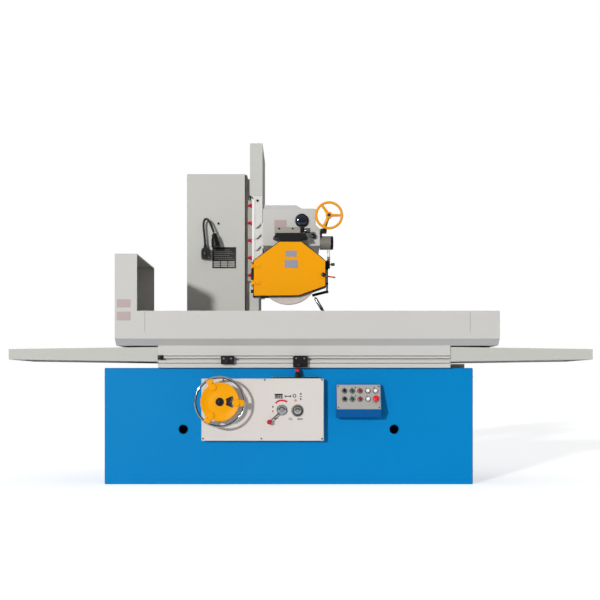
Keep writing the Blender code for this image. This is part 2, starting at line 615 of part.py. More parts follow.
def build_guard_casing():
    outer, inner = grown(GUARD_OUTLINE, 0.006), grown(GUARD_OUTLINE, 0.001)
    casing = prism("guard_casing", outer, 'Y', GUARD_SPLIT, GUARD_BACK, BLACK)
    cut(casing, prism("casing_hollow", inner, 'Y', GUARD_SPLIT - 0.01, GUARD_BACK - 0.006))
    cut(casing, block("wheel_opening", (-0.190, GUARD_SPLIT + 0.006, 1.200), (0.170, -0.012, 1.298)))
    cut(casing, rod("spindle_hole", at_spindle(-0.03), at_spindle(0.02), 0.032, sides=32))
    cut(casing, block("diamond_slot", (WHEEL_X - 0.011, DRESSER_Y - 0.0315, 1.600),
                      (WHEEL_X + 0.011, DRESSER_Y + 0.0315, 1.620)))
    lug_right = outer[0][0] + 0.002
    fuse(casing, block("hinge_lug", (HINGE_X - 0.004, HINGE_Y, 1.370), (lug_right, -0.090, 1.410)))
    fuse(casing, rod("hinge_sleeve", (HINGE_X, HINGE_Y, 1.3515), (HINGE_X, HINGE_Y, 1.4285), 0.0075, sides=16))
    return fuse(casing, rod("hinge_rod", (HINGE_X, HINGE_Y, 1.302), (HINGE_X, HINGE_Y, 1.470), 0.004, sides=16))


def build_guard_door(head_body):
    back = GUARD_SPLIT - GAP
    door = prism("guard_door", GUARD_OUTLINE, 'Y', GUARD_FRONT, back, YELLOW, bevel=0.002)
    cut(door, prism("door_hollow", grown(GUARD_OUTLINE, -0.004), 'Y', GUARD_FRONT + 0.004, back + 0.01))
    for number, (low, high) in enumerate(((1.314, 1.350), (1.430, 1.458))):
        fuse(door, block(f"strap_{number}", (HINGE_X, -0.1345, low + 0.006), (-0.190, -0.1285, high - 0.006)))
        fuse(door, rod(f"knuckle_{number}", (HINGE_X, HINGE_Y, low), (HINGE_X, HINGE_Y, high), 0.0075,
                       sides=16))
    cut(door, rod("knuckle_hole", (HINGE_X, HINGE_Y, 1.29), (HINGE_X, HINGE_Y, 1.48), 0.0044, sides=16))
    cut(door, rod("latch_hole", (0.230, -0.14, 1.385), (0.230, -0.11, 1.385), 0.0053))
    door_body = moving("guard_door", (HINGE_X, HINGE_Y, WHEEL_Z), [door], head_body)
    knob = ((0.0, 0.022), (0.010, 0.022), (0.014, 0.017), (0.014, 0.004), (0.010, 0.0), (0.005, 0.0),
            (0.005, -0.012), (0.0, -0.012))
    latch = turned("latch_knob", knob, (0.230, GUARD_FRONT - GAP, 1.385), (0, -1, 0), BLACK, steps=24)
    moving("latch_knob", (0.230, GUARD_FRONT, 1.385), [latch], door_body)


def build_spindle(head_body):
    """Spindle with its rear wheel flange, the wheel and the front clamping flange."""
    spindle = rod("spindle", at_spindle(-0.112), at_spindle(0.665), 0.025, STEEL, sides=32)
    fuse(spindle, rod("coupling", at_spindle(0.646), at_spindle(0.668), 0.045, sides=32))
    fuse(spindle, rod("rear_flange", at_spindle(WHEEL_BACK + GAP), at_spindle(-0.030), 0.095, sides=32))
    fuse(spindle, rod("wheel_hub", at_spindle(WHEEL_FRONT + 0.003), at_spindle(-0.040), 0.0625, sides=32))
    rim = ((WHEEL_R, WHEEL_BACK), (WHEEL_R, WHEEL_FRONT), (WHEEL_BORE, WHEEL_FRONT), (WHEEL_BORE, WHEEL_BACK))
    wheel = turned("grinding_wheel", rim, at_spindle(0.0), (0, 1, 0), ABRASIVE, steps=48, closed=True)
    front = WHEEL_FRONT - GAP
    clamp = ((0.095, front), (0.095, front - 0.010), (0.040, front - 0.012), (0.040, front - 0.020),
             (0.0254, front - 0.020), (0.0254, front))
    flange = turned("wheel_flange", clamp, at_spindle(0.0), (0, 1, 0), STEEL, steps=32, closed=True)
    moving("spindle", at_spindle(WHEEL_FRONT), [spindle, wheel, flange], head_body)


def build_dresser_base():
    section = (
        (-0.083, 1.667), (0.111, 1.667), (0.127, 1.636), (0.087, 1.632),
        (0.087, 1.612 + GAP), (-0.065, 1.612 + GAP), (-0.065, 1.632), (-0.106, 1.636),
    )
    base = prism("dresser_base", section, 'Y', -0.108, -0.0008, BLACK)
    return cut(base, block("quill_slot", (WHEEL_X - 0.0105, DRESSER_Y - 0.0315, 1.60),
                           (WHEEL_X + 0.0105, DRESSER_Y + 0.0315, 1.68)))


def build_dresser(head_body):
    foot = 1.667 + GAP
    slide = block("dresser_slide", (-0.095, -0.105, foot), (0.078, -0.025, 1.707), STEEL, bevel=0.002)
    fuse(slide, block("dresser_bracket", (0.070, -0.090, foot), (0.106, -0.040, 1.712)))
    fuse(slide, rod("quill", (WHEEL_X, DRESSER_Y, 1.5915), (WHEEL_X, DRESSER_Y, 1.690), 0.009, sides=20))
    cut(slide, rod("feed_hole", (0.060, -0.065, 1.690), (0.120, -0.065, 1.690), 0.0064))
    slide_body = moving("dresser_slide", (WHEEL_X, DRESSER_Y, 1.690), [slide], head_body)
    knob = ((0.0, 0.076), (0.012, 0.076), (0.016, 0.071), (0.016, 0.038), (0.014, 0.036), (0.006, 0.036),
            (0.006, 0.0), (0.0, 0.0))
    feed = turned("dresser_knob", knob, (0.0705, -0.065, 1.690), (1, 0, 0), STEEL, steps=24)
    moving("dresser_knob", (0.111, -0.065, 1.690), [feed], slide_body)


def build_crossfeed_motor():
    """Cross-feed motor with the bracket that carries the cross-feed handwheel's shaft."""
    side = 0.212 + GAP
    motor = rod("crossfeed_motor", (side, 0.052, 1.622), (0.285, 0.052, 1.622), 0.047, MOTOR_GREY, sides=32)
    fuse(motor, rod("motor_cap", (0.280, 0.052, 1.622), (0.304, 0.052, 1.622), 0.0445, sides=32))
    fuse(motor, block("bracket_web", (side + 0.001, 0.020, 1.650), (0.226, 0.038, 1.690)))
    fuse(motor, block("bracket_foot", (side, -0.075, 1.683), (0.256, 0.040, 1.703)))
    fuse(motor, rod("bracket_arm", (0.236, -0.066, 1.690), (0.2655, -0.066, 1.775), 0.009, sides=12))
    fuse(motor, rod("bracket_boss", (0.241, -0.084, 1.724), (0.241, -0.055, 1.724), 0.012, sides=16))
    fuse(motor, rod("wheel_boss", (0.270, -0.080, 1.788), (0.270, -0.050, 1.788), 0.018))
    return cut(motor, rod("shaft_hole", (0.270, -0.09, 1.788), (0.270, -0.04, 1.788), 0.0084))


def build_crossfeed_handwheel(head_body):
    centre = Vector((0.270, -0.100, 1.788))
    rim_radius = 0.0865
    wheel = hoop("crossfeed_handwheel", centre, rim_radius, 0.0085, YELLOW)
    for number, angle in enumerate((0, 125, 245)):
        turn = math.radians(angle)
        outwards = Vector((math.cos(turn), 0.0, math.sin(turn)))
        fuse(wheel, rod(f"spoke_{number}", centre + 0.011 * outwards, centre + rim_radius * outwards, 0.0075,
                        sides=12, end_radius=0.006))
    fuse(wheel, rod("crossfeed_hub", centre - Vector((0, 0.014, 0)), centre + Vector((0, 0.0195, 0)), 0.018))
    fuse(wheel, rod("crossfeed_shaft", centre + Vector((0, 0.010, 0)), centre + Vector((0, 0.055, 0)), 0.008,
                    sides=20))
    moving("crossfeed_handwheel", centre, [wheel], head_body)


def build_head_knob(head_body):
    knob = ((0.0, 0.026), (0.014, 0.026), (0.018, 0.021), (0.018, 0.003), (0.015, 0.0), (0.006, 0.0),
            (0.006, -0.018), (0.0, -0.018))
    piece = turned("head_knob", knob, (0.167, -GAP, 1.660), (0, -1, 0), BLACK, steps=24)
    moving("head_knob", (0.167, 0.0, 1.660), [piece], head_body)


def build_coolant_line():
    """The pale feed pipe, and the valve, lower pipe and nozzle bar that hang below it."""
    x, y = 0.2685, -0.055
    feed = pipe("coolant_pipe", ((x, 0.060, 1.560), (x, 0.010, 1.560), (x, -0.038, 1.557),
                                 (x, y, 1.535), (x, y, 1.4900)), 0.0085, WHITE)
    line = block("coolant_line", (0.2515, -0.072, 1.434), (0.2775, -0.038, 1.4885), BLACK, bevel=0.002)
    fuse(line, pipe("lower_pipe", ((0.2585, y, 1.440), (0.2585, y, 1.360), (0.2585, y, 1.320),
                                   (0.2585, NOZZLE_Y, 1.290), (0.2585, NOZZLE_Y, 1.275)), 0.006))
    fuse(line, ball("elbow", (0.2585, NOZZLE_Y, 1.2795), 0.0110))
    fuse(line, rod("nozzle_bar", (0.2585, NOZZLE_Y, 1.2805), (0.158, NOZZLE_Y, 1.255), 0.0095, sides=20))
    cut(line, rod("valve_hole", (0.265, y, 1.462), (0.290, y, 1.462), 0.0043))
    return [feed, line]


def build_coolant_controls(head_body):
    pivot = Vector((0.172, NOZZLE_Y, 1.249))
    end = Vector((0.238, NOZZLE_Y, 1.138))
    reach = (end - pivot).normalized()
    tube = rod("coolant_tube", pivot + 0.014 * reach, end, 0.0105, CHROME)
    fuse(tube, rod("tube_neck", pivot + 0.006 * reach, pivot + 0.020 * reach, 0.006, sides=16))
    moving("coolant_tube", pivot, [tube], head_body)
    knob = ((0.0, 0.032), (0.008, 0.032), (0.010, 0.029), (0.010, 0.006), (0.004, 0.005), (0.004, -0.008),
            (0.0, -0.008))
    valve = turned("valve_knob", knob, (0.278, -0.055, 1.462), (1, 0, 0), GREEN, steps=20)
    moving("valve_knob", (0.278, -0.055, 1.462), [valve], head_body)
    stem = Vector((0.2585, -0.0613, 1.380))
    lever = rod("coolant_lever", stem - Vector((0, 0.020, 0)), stem, 0.005, ORANGE, sides=16)
    fuse(lever, rod("lever_arm", stem - Vector((0, 0.014, 0)), (0.313, stem.y - 0.014, 1.372), 0.0055, sides=16))
    moving("coolant_lever", stem, [lever], head_body)


# ---------------------------------------------------------------- operator's controls

def build_control_panel():
    panel = block("control_panel", (PANEL_LEFT, PANEL_FRONT, PANEL_BOTTOM),
                  (PANEL_RIGHT, BED_FRONT - GAP, PANEL_TOP), PANEL_BEIGE, bevel=0.003)
    wall = 0.006
    cut(panel, block("panel_hollow", (PANEL_LEFT + wall, PANEL_FRONT + wall, PANEL_BOTTOM + wall),
                     (PANEL_RIGHT - wall, BED_FRONT + 0.01, PANEL_TOP - wall)))
    fuse(panel, block("lever_base", (-0.105, -0.378, PANEL_TOP - 0.002), (0.202, -0.322, PANEL_TOP + 0.010)))
    holes = ((FEED_X, FEED_Z, 0.0158), (HYDRAULIC_X, HYDRAULIC_Z, 0.0083), (SPEED_X, SPEED_Z, 0.0063))
    for number, (x, z, radius) in enumerate(holes):
        cut(panel, rod(f"panel_hole_{number}", (x, PANEL_FRONT - 0.01, z), (x, PANEL_FRONT + 0.02, z), radius))
    sleeve = ((0.100, 0.0945), (0.100, 0.086), (0.028, 0.080), (0.024, 0.0), (0.0158, 0.0), (0.0158, 0.0945))
    turned("feed_dial", sleeve, (FEED_X, PANEL_FRONT - GAP, FEED_Z), (0, -1, 0), CHROME, steps=24, closed=True)


def build_feed_handwheel():
    """Vertical-feed handwheel: a cast disc with a dial window and three lugs that carry the rim."""
    centre = Vector((FEED_X, FEED_RIM_Y, FEED_Z))
    back = Vector((0, 0.0040, 0))
    wheel = rod("feed_handwheel", centre - Vector((0, 0.010, 0)), centre + back, 0.124, YELLOW, sides=36)
    fuse(wheel, hoop("feed_rim", centre, 0.158, 0.007))
    for number, angle in enumerate((0, 125, 235)):
        turn = math.radians(angle)
        lug = block(f"lug_{number}", (0.095, -0.012, -0.018), (0.157, 0.0050, 0.018))
        lug.matrix_world = Matrix.Translation(centre) @ Matrix.Rotation(-turn, 4, 'Y')
        fuse(wheel, lug)
    fuse(wheel, rod("feed_hub", centre - Vector((0, 0.018, 0)), centre - Vector((0, 0.002, 0)), 0.026))
    window = arc((FEED_X, FEED_Z), 0.042, 24, -24, 4) + arc((FEED_X, FEED_Z), 0.090, -27, 27, 6)
    cut(wheel, prism("dial_window", window, 'Y', FEED_RIM_Y - 0.03, FEED_RIM_Y + 0.02))
    fuse(wheel, rod("feed_shaft", centre - Vector((0, 0.005, 0)), (FEED_X, -0.345, FEED_Z), 0.015, sides=16))
    moving("feed_handwheel", centre, [wheel])


def build_levers():
    hub = Vector((HYDRAULIC_X, PANEL_FRONT - GAP, HYDRAULIC_Z))
    tip = Vector((-0.124, -0.412, 0.408))
    lever = rod("hydraulic_lever", hub, hub - Vector((0, 0.026, 0)), 0.031, CHROME, sides=32, end_radius=0.026)
    fuse(lever, rod("hydraulic_arm", hub - Vector((0, 0.018, 0)), tip, 0.0045, sides=12))
    fuse(lever, ball("hydraulic_ball", tip, 0.016))
    fuse(lever, rod("hydraulic_shaft", hub - Vector((0, 0.01, 0)), hub + Vector((0, 0.02, 0)), 0.008))
    moving("hydraulic_lever", hub, [lever])

    dial = ((0.0, 0.026), (0.020, 0.026), (0.024, 0.022), (0.026, 0.008), (0.035, 0.005), (0.035, 0.0),
            (0.006, 0.0), (0.006, -0.020), (0.0, -0.020))
    place = (SPEED_X, PANEL_FRONT - GAP, SPEED_Z)
    knob = turned("speed_knob", dial, place, (0, -1, 0), CHROME)
    moving("speed_knob", place, [knob])

    pivot = Vector((REVERSE_X, REVERSE_Y, REVERSE_Z))
    drum = rod("reversing_lever", pivot - Vector((0, 0.013, 0)), pivot + Vector((0, 0.013, 0)), 0.0175, BLACK)
    fuse(drum, ball("reversing_ball", pivot + Vector((0, 0, 0.024)), 0.0155))
    moving("reversing_lever", pivot, [drum])


def console_frame():
    """Columns across, up the slope and out of the console's plate, with the plate's middle."""
    foot, top = Vector((0, *CONSOLE_FOOT)), Vector((0, *CONSOLE_TOP))
    up = (top - foot).normalized()
    out = Vector((1, 0, 0)).cross(up)
    middle = (foot + top) / 2
    middle.x = (CONSOLE_LEFT + CONSOLE_RIGHT) / 2
    return Vector((1, 0, 0)), up, out, middle, (top - foot).length


def build_console():
    across, up, out, middle, slope = console_frame()
    wall, plate = 0.004, 0.003
    outline = (
        (BED_FRONT - GAP, CONSOLE_TOP[1]), CONSOLE_TOP, CONSOLE_FOOT, (CONSOLE_FOOT[0] + 0.034, 0.440),
        (CONSOLE_FOOT[0] + 0.040, 0.436), (BED_FRONT - GAP, 0.436),
    )
    box = prism("console_box", outline, 'X', CONSOLE_LEFT, CONSOLE_RIGHT, BED_BLUE)
    inside = (
        (BED_FRONT + 0.01, CONSOLE_TOP[1] - wall), (CONSOLE_TOP[0] + wall, CONSOLE_TOP[1] - wall),
        (CONSOLE_FOOT[0] + 0.0045, CONSOLE_FOOT[1]), (CONSOLE_FOOT[0] + 0.0385, 0.442),
        (CONSOLE_FOOT[0] + 0.042, 0.440), (BED_FRONT + 0.01, 0.440),
    )
    cut(box, prism("console_hollow", inside, 'X', CONSOLE_LEFT + wall, CONSOLE_RIGHT - wall))
    turn = Matrix((across, up, out)).transposed().to_4x4()
    length = CONSOLE_RIGHT - CONSOLE_LEFT
    face = block("console_plate", (-length / 2 + 0.003, -slope / 2 + 0.003, GAP),
                 (length / 2 - 0.003, slope / 2 - 0.003, plate), STEEL, bevel=0.0006)
    face.matrix_world = Matrix.Translation(middle) @ turn
    colours = ((BLACK, GREEN, RED, WHITE, None), (BLACK, GREEN, RED, WHITE, RED))
    names = (("selector_upper", "button_green_upper", "button_red_upper", "button_white_upper", "pilot_lamp"),
             ("selector_lower", "button_green_lower", "button_red_lower", "button_white_lower", "emergency_stop"))
    for row, height in enumerate(BUTTON_ROWS):
        for column in range(5):
            x = BUTTON_FIRST_X + column * BUTTON_PITCH
            place = middle + up * height
            place.x = x
            name = names[row][column]
            surface = place + out * plate
            if name == "pilot_lamp":
                fuse(face, rod(name, place + out * 0.001, surface + out * 0.012, 0.0105, sides=16))
                continue
            cut(face, rod(name + "_hole", place - out * 0.01, place + out * 0.02, 0.0046, sides=8))
            cut(box, rod(name + "_opening", place - out * 0.02, place + out * 0.01, 0.0060, sides=8))
            build_button(name, surface, out, colours[row][column])


def build_button(name, surface, out, colour):
    """A push button with its stem, a mushroom stop button or a turning selector."""
    stem = [(0.0040, 0.0045), (0.0040, -0.014), (0.0, -0.014)]
    if name == "emergency_stop":
        cap = [(0.0, 0.026), (0.012, 0.025), (0.019, 0.020), (0.019, 0.016), (0.011, 0.012), (0.011, 0.0045)]
    elif name.startswith("selector"):
        cap = [(0.0, 0.006), (0.0115, 0.006), (0.0115, 0.0045)]
    else:
        cap = [(0.0, 0.0125), (0.0100, 0.0120), (0.0115, 0.0105), (0.0115, 0.0045)]
    piece = turned(name, cap + stem, surface, out, colour, steps=16)
    if name.startswith("selector"):
        grip = block(name + "_grip", (-0.0035, -0.0115, 0.004), (0.0035, 0.0115, 0.020))
        across, up, normal, _, _ = console_frame()
        grip.matrix_world = Matrix.Translation(surface) @ Matrix((across, up, normal)).transposed().to_4x4()
        fuse(piece, grip)
    moving(name, surface, [piece])


# ---------------------------------------------------------------- work lamp

def build_lamp():
    left, right, front = -0.635, -0.572, 0.395
    middle = (left + right) / 2
    dome = [(left, 1.560), (right, 1.560)] + arc((middle, 1.6085), (right - left) / 2, 0, 180, 10)
    base = prism("lamp_base", dome, 'Y', front, COLUMN_FRONT - GAP, BLACK)
    neck = ((-0.606, 0.415, 1.630), (-0.613, 0.415, 1.720), (-0.620, 0.415, 1.800), (-0.613, 0.413, 1.836),
            (-0.597, 0.410, 1.844), (-0.580, 0.405, 1.829), (-0.564, 0.400, 1.798), (-0.5435, 0.395, 1.746))
    fuse(base, pipe("gooseneck", neck, 0.008))
    top, mouth = Vector((-0.5426, 0.395, 1.742)), Vector((-0.528, 0.395, 1.640))
    length = (mouth - top).length
    wall = 0.002
    shade = ((0.0, 0.0), (0.013, 0.0), (0.015, -0.030), (0.031, -length + 0.012), (0.031, -length),
             (0.031 - wall, -length), (0.0, -0.012))
    cone = turned("lamp_shade", shade, top, top - mouth, BLACK, steps=20)
    moving("lamp_shade", top, [cone])


def main():
    build_bed()
    build_column()
    build_elevating_screw()
    build_piston_rod()
    build_table()
    carriage_body = build_carriage()
    head_body = moving("wheelhead", at_spindle(0.0), build_wheelhead(), carriage_body)
    build_guard_door(head_body)
    build_spindle(head_body)
    build_dresser(head_body)
    build_crossfeed_handwheel(head_body)
    build_head_knob(head_body)
    build_coolant_controls(head_body)
    build_control_panel()
    build_feed_handwheel()
    build_levers()
    build_console()
    build_lamp()


main()
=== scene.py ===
"""Finishes and fine pieces of a surface grinder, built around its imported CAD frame.

Laid out as an add-on and run as a script. Metres, +Z up, X along the table, +Y away from the
operator. Each operator makes one piece or one group of like pieces.
"""
import math

import bpy
from mathutils import Matrix, Vector


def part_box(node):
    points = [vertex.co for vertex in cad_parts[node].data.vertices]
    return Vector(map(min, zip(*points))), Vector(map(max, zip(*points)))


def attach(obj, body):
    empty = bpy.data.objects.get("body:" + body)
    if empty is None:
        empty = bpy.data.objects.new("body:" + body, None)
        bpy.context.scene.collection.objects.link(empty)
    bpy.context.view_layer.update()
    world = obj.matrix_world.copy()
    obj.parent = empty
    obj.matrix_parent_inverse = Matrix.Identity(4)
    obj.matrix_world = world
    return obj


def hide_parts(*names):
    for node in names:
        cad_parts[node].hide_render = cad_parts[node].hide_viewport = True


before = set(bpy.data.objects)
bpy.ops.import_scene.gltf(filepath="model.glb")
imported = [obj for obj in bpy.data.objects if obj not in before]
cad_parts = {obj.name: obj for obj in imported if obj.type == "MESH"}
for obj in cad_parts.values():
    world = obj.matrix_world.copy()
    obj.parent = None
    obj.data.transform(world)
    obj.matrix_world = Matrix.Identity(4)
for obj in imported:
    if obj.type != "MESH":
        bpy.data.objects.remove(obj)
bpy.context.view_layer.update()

bl_info = {
    "name": "Surface Grinder",
    "version": (1, 0, 0),
    "blender": (4, 5, 0),
    "location": "View3D > Sidebar > Grinder",
    "description": "Finishes and fine pieces of a surface grinder",
    "category": "Object",
}

ALONG_X, ALONG_Y, ALONG_Z = Vector((1, 0, 0)), Vector((0, 1, 0)), Vector((0, 0, 1))
TO_FRONT = Vector((0, -1, 0))


def linear(code, alpha=1.0):
    """An sRGB colour written as RRGGBB, as linear RGBA."""
    channels = [int(code[i:i + 2], 16) / 255 for i in (0, 2, 4)]
    return (*[c / 12.92 if c <= 0.04045 else ((c + 0.055) / 1.055) ** 2.4 for c in channels], alpha)


def colour_property(name, description, code):
    return bpy.props.FloatVectorProperty(name=name, description=description, subtype='COLOR',
                                         size=4, min=0.0, max=1.0, default=linear(code))


def length_property(name, description, default):
    return bpy.props.FloatProperty(name=name, description=description, default=default,
                                   min=0.0, unit='LENGTH', subtype='DISTANCE')


class GrinderColours(bpy.types.PropertyGroup):
    bed: colour_property("Bed", "Gloss enamel on the bed and its base", "0083C4")
    head: colour_property("Head and tray", "Paint on the wheelhead, carriage, table and tray", "C9C7C3")
    column: colour_property("Column", "Paint on the column", "C9C8C2")
    covers: colour_property("Way covers", "Paint on the table's way covers", "C1C0B9")
    panel: colour_property("Control panel", "Printed sheet of the control panel", "D8D1CB")
    guard: colour_property("Guard", "Enamel on the wheel guard's door and the handwheels", "F6A400")
    knobs: colour_property("Ball knobs", "Red plastic of the lever balls and caps", "C8102E")
    wheel: colour_property("Grinding wheel", "Bonded abrasive", "E6DAD2")
    floor: colour_property("Floor", "Plain floor of the stage", "FFFFFF")


class GrinderSizes(bpy.types.PropertyGroup):
    rim: length_property("Handwheel rim", "Radius of the vertical-feed handwheel's rim", 0.158)
    rim_bar: length_property("Rim bar", "Radius of the rim's own section", 0.007)
    ball: length_property("Lever ball", "Radius of the red ball on the hydraulic lever", 0.016)
    button: length_property("Button", "Radius of a push button's cap", 0.0115)
    pole_pitch: length_property("Pole pitch", "Distance between the chuck's poles", 0.020)
    seam: length_property("Seam", "Width of the joints between sheet panels", 0.0025)
    screw: length_property("Screw head", "Radius of the panel screws' heads", 0.005)


# ---------------------------------------------------------------- modelling tools

def let_go():
    """Leave edit mode with nothing selected."""
    if bpy.context.object and bpy.context.object.mode != 'OBJECT':
        bpy.ops.object.mode_set(mode='OBJECT')
    bpy.ops.object.select_all(action='DESELECT')


def take(obj):
    let_go()
    obj.select_set(True)
    bpy.context.view_layer.objects.active = obj
    return obj


def settle(obj, name=None):
    """Write an object's place into its mesh."""
    take(obj)
    bpy.ops.object.transform_apply(location=True, rotation=True, scale=True)
    if name:
        obj.name = obj.data.name = name
    return obj


def start_block(name, low, high):
    let_go()
    low, high = Vector(low), Vector(high)
    bpy.ops.mesh.primitive_cube_add(size=1.0, location=(low + high) / 2, scale=high - low)
    return settle(bpy.context.object, name)


def facing(direction):
    """The turn that carries local Z onto a direction."""
    return ALONG_Z.rotation_difference(Vector(direction)).to_matrix().to_4x4()


def placed(obj, place, direction=ALONG_Z, spin=0.0):
    """Stand a shape that was made about the origin at its place, with local Z along a direction."""
    obj.matrix_world = Matrix.Translation(Vector(place)) @ facing(direction) @ Matrix.Rotation(spin, 4, 'Z')
    return settle(obj)


def turned(name, profile, place, direction, sides=48, ring=False):
    """Extrude and resize a circle through (radius, height) steps, bottom to top, as on a lathe.

    A ring's steps go up its outer side and down its inner side, and its two open ends are bridged.
    """
    let_go()
    radius, height = profile[0]
    bpy.ops.mesh.primitive_circle_add(vertices=sides, radius=radius, location=(0, 0, height),
                                      fill_type='NOTHING' if ring else 'NGON')
    obj = settle(bpy.context.object, name)
    bpy.ops.object.mode_set(mode='EDIT')
    bpy.ops.mesh.select_mode(type='VERT')
    bpy.ops.mesh.select_all(action='SELECT')
    for new_radius, new_height in profile[1:]:
        bpy.ops.mesh.extrude_region_move(TRANSFORM_OT_translate={"value": (0, 0, new_height - height)})
        ratio = new_radius / radius
        bpy.ops.transform.resize(value=(ratio, ratio, 1.0), center_override=(0, 0, new_height))
        radius, height = new_radius, new_height
    if ring:
        bpy.ops.mesh.select_all(action='DESELECT')
        bpy.ops.mesh.select_mode(type='EDGE')
        bpy.ops.mesh.select_non_manifold()
        bpy.ops.mesh.bridge_edge_loops()
    bpy.ops.mesh.select_all(action='SELECT')
    bpy.ops.mesh.normals_make_consistent(inside=False)
    bpy.ops.object.mode_set(mode='OBJECT')
    return placed(obj, place, direction)


def bar(name, start, end, radius, end_radius=None, sides=24, edge=0.0):
    """A round bar with broken edges between two points."""
    start, end = Vector(start), Vector(end)
    length = (end - start).length
    tip = radius if end_radius is None else end_radius
    steps = [(radius, 0.0), (tip, length)]
    if edge:
        steps = [(radius - edge, 0.0), (radius, edge), (tip, length - edge), (tip - edge, length)]
    return turned(name, steps, start, end - start, sides)


def rounded(obj, width, segments=2, angle=30):
    """Round the sharp edges with a bevel."""
    take(obj)
    bevel = obj.modifiers.new("rounded edges", 'BEVEL')
    bevel.width, bevel.segments, bevel.angle_limit = width, segments, math.radians(angle)
    bevel.limit_method = 'ANGLE'
    bpy.ops.object.modifier_apply(modifier=bevel.name)
    return obj


def trimmed(obj, *planes):
    """Cut away what lies beyond each (point, normal) plane and close the cut."""
    for point, normal in planes:
        take(obj)
        bpy.ops.object.mode_set(mode='EDIT')
        bpy.ops.mesh.select_all(action='SELECT')
        bpy.ops.mesh.bisect(plane_co=point, plane_no=normal, use_fill=True, clear_outer=True)
        bpy.ops.object.mode_set(mode='OBJECT')
    return obj


def joined(name, *parts):
    """Make several shapes one object."""
    take(parts[0])
    for part in parts[1:]:
        part.select_set(True)
    bpy.ops.object.join()
    parts[0].name = parts[0].data.name = name
    return parts[0]


def bored(obj, cutter):
    """Take one shape out of another and delete it."""
    take(obj)
    hole = obj.modifiers.new("hole", 'BOOLEAN')
    hole.object, hole.operation, hole.solver = cutter, 'DIFFERENCE', 'EXACT'
    bpy.ops.object.modifier_apply(modifier=hole.name)
    bpy.data.objects.remove(cutter, do_unlink=True)
    return obj


def copied(obj, name, offset=(0, 0, 0)):
    """A copy with its own mesh, moved by an offset."""
    take(obj)
    bpy.ops.object.duplicate(linked=False)
    twin = bpy.context.object
    twin.location = Vector(offset)
    return settle(twin, name)


def inset_face(obj, direction, thickness, depth):
    """Inset the face that looks along a direction, and push its middle by depth."""
    take(obj)
    direction = Vector(direction).normalized()
    bpy.ops.object.mode_set(mode='EDIT')
    bpy.ops.mesh.select_mode(type='FACE')
    bpy.ops.mesh.select_all(action='DESELECT')
    bpy.ops.object.mode_set(mode='OBJECT')
    reach = max(face.center.dot(direction) for face in obj.data.polygons)
    for face in obj.data.polygons:
        face.select = face.normal.dot(direction) > 0.99 and face.center.dot(direction) > reach - 1e-5
    bpy.ops.object.mode_set(mode='EDIT')
    bpy.ops.mesh.inset(thickness=thickness)
    bpy.ops.transform.translate(value=direction * depth)
    bpy.ops.object.mode_set(mode='OBJECT')
    return obj


def done(obj, material, body, slot, *stands_for, smooth=35):
    """Give a piece its finish, its shading and its body. The slot argument is not used."""
    take(obj)
    obj.data.materials.clear()
    obj.data.materials.append(bpy.data.materials[material])
    bpy.ops.object.shade_smooth_by_angle(angle=math.radians(smooth))
    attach(obj, body)
    if stands_for:
        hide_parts(*stands_for)
    return obj


def cap_screw(name, place, direction, radius, material, body, slot):
    """A cap screw's head with a bevelled rim and a hexagon socket."""
    height = radius * 0.7
    head = turned(name, [(radius, 0.0), (radius, height * 0.8), (radius * 0.88, height)],
                  (0, 0, 0), ALONG_Z, sides=24)
    socket = turned("socket", [(radius * 0.5, height * 0.45), (radius * 0.5, height + 0.01)],
                    (0, 0, 0), ALONG_Z, sides=6)
    bored(head, socket)
    return done(placed(head, place, direction), material, body, slot)


def middle_of(node):
    low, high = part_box(node)
    return (low + high) / 2


# ---------------------------------------------------------------- finishes

def add(tree, kind, settings=None, links=None):
    """Add a node, set its properties and inputs, and link its inputs."""
    made = tree.nodes.new(kind)
    for key, value in (settings or {}).items():
        if isinstance(key, int) or key in made.inputs:
            made.inputs[key].default_value = value
        else:
            setattr(made, key, value)
    for key, source in (links or {}).items():
        tree.links.new(source, made.inputs[key])
    return made


def blank(name, **settings):
    """A material with its Principled shader's own sockets set."""
    material = bpy.data.materials.new(name)
    material.use_nodes = True
    tree = material.node_tree
    shader = tree.nodes["Principled BSDF"]
    for key, value in settings.items():
        shader.inputs[key.replace("_", " ")].default_value = value
    return tree, shader


def darker(colour, share):
    return (*[c * (1 - share) for c in colour[:3]], 1.0)


def clouds(tree, scale, detail=3.0, stretch=(1, 1, 1)):
    """Noise on the piece's own coordinates, with features about 1/scale metres across."""
    place = add(tree, 'ShaderNodeTexCoord').outputs['Object']
    stretched = add(tree, 'ShaderNodeMapping', {'Scale': stretch}, {'Vector': place}).outputs['Vector']
    return add(tree, 'ShaderNodeTexNoise', {'Scale': scale, 'Detail': detail},
               {'Vector': stretched}).outputs['Fac']


def tint(tree, shader, factor, one, other):
    """Mix two colours into the base colour."""
    mixed = add(tree, 'ShaderNodeMix', {'data_type': 'RGBA', 6: one, 7: other}, {0: factor})
    tree.links.new(mixed.outputs[2], shader.inputs['Base Color'])


def rough(tree, shader, factor, low, high):
    """Let the roughness run between two values with a pattern."""
    spread = add(tree, 'ShaderNodeMapRange', {'To Min': low, 'To Max': high}, {'Value': factor})
    tree.links.new(spread.outputs['Result'], shader.inputs['Roughness'])


def relief(tree, shader, height, distance, strength=1.0):
    bump = add(tree, 'ShaderNodeBump', {'Strength': strength, 'Distance': distance}, {'Height': height})
    tree.links.new(bump.outputs['Normal'], shader.inputs['Normal'])


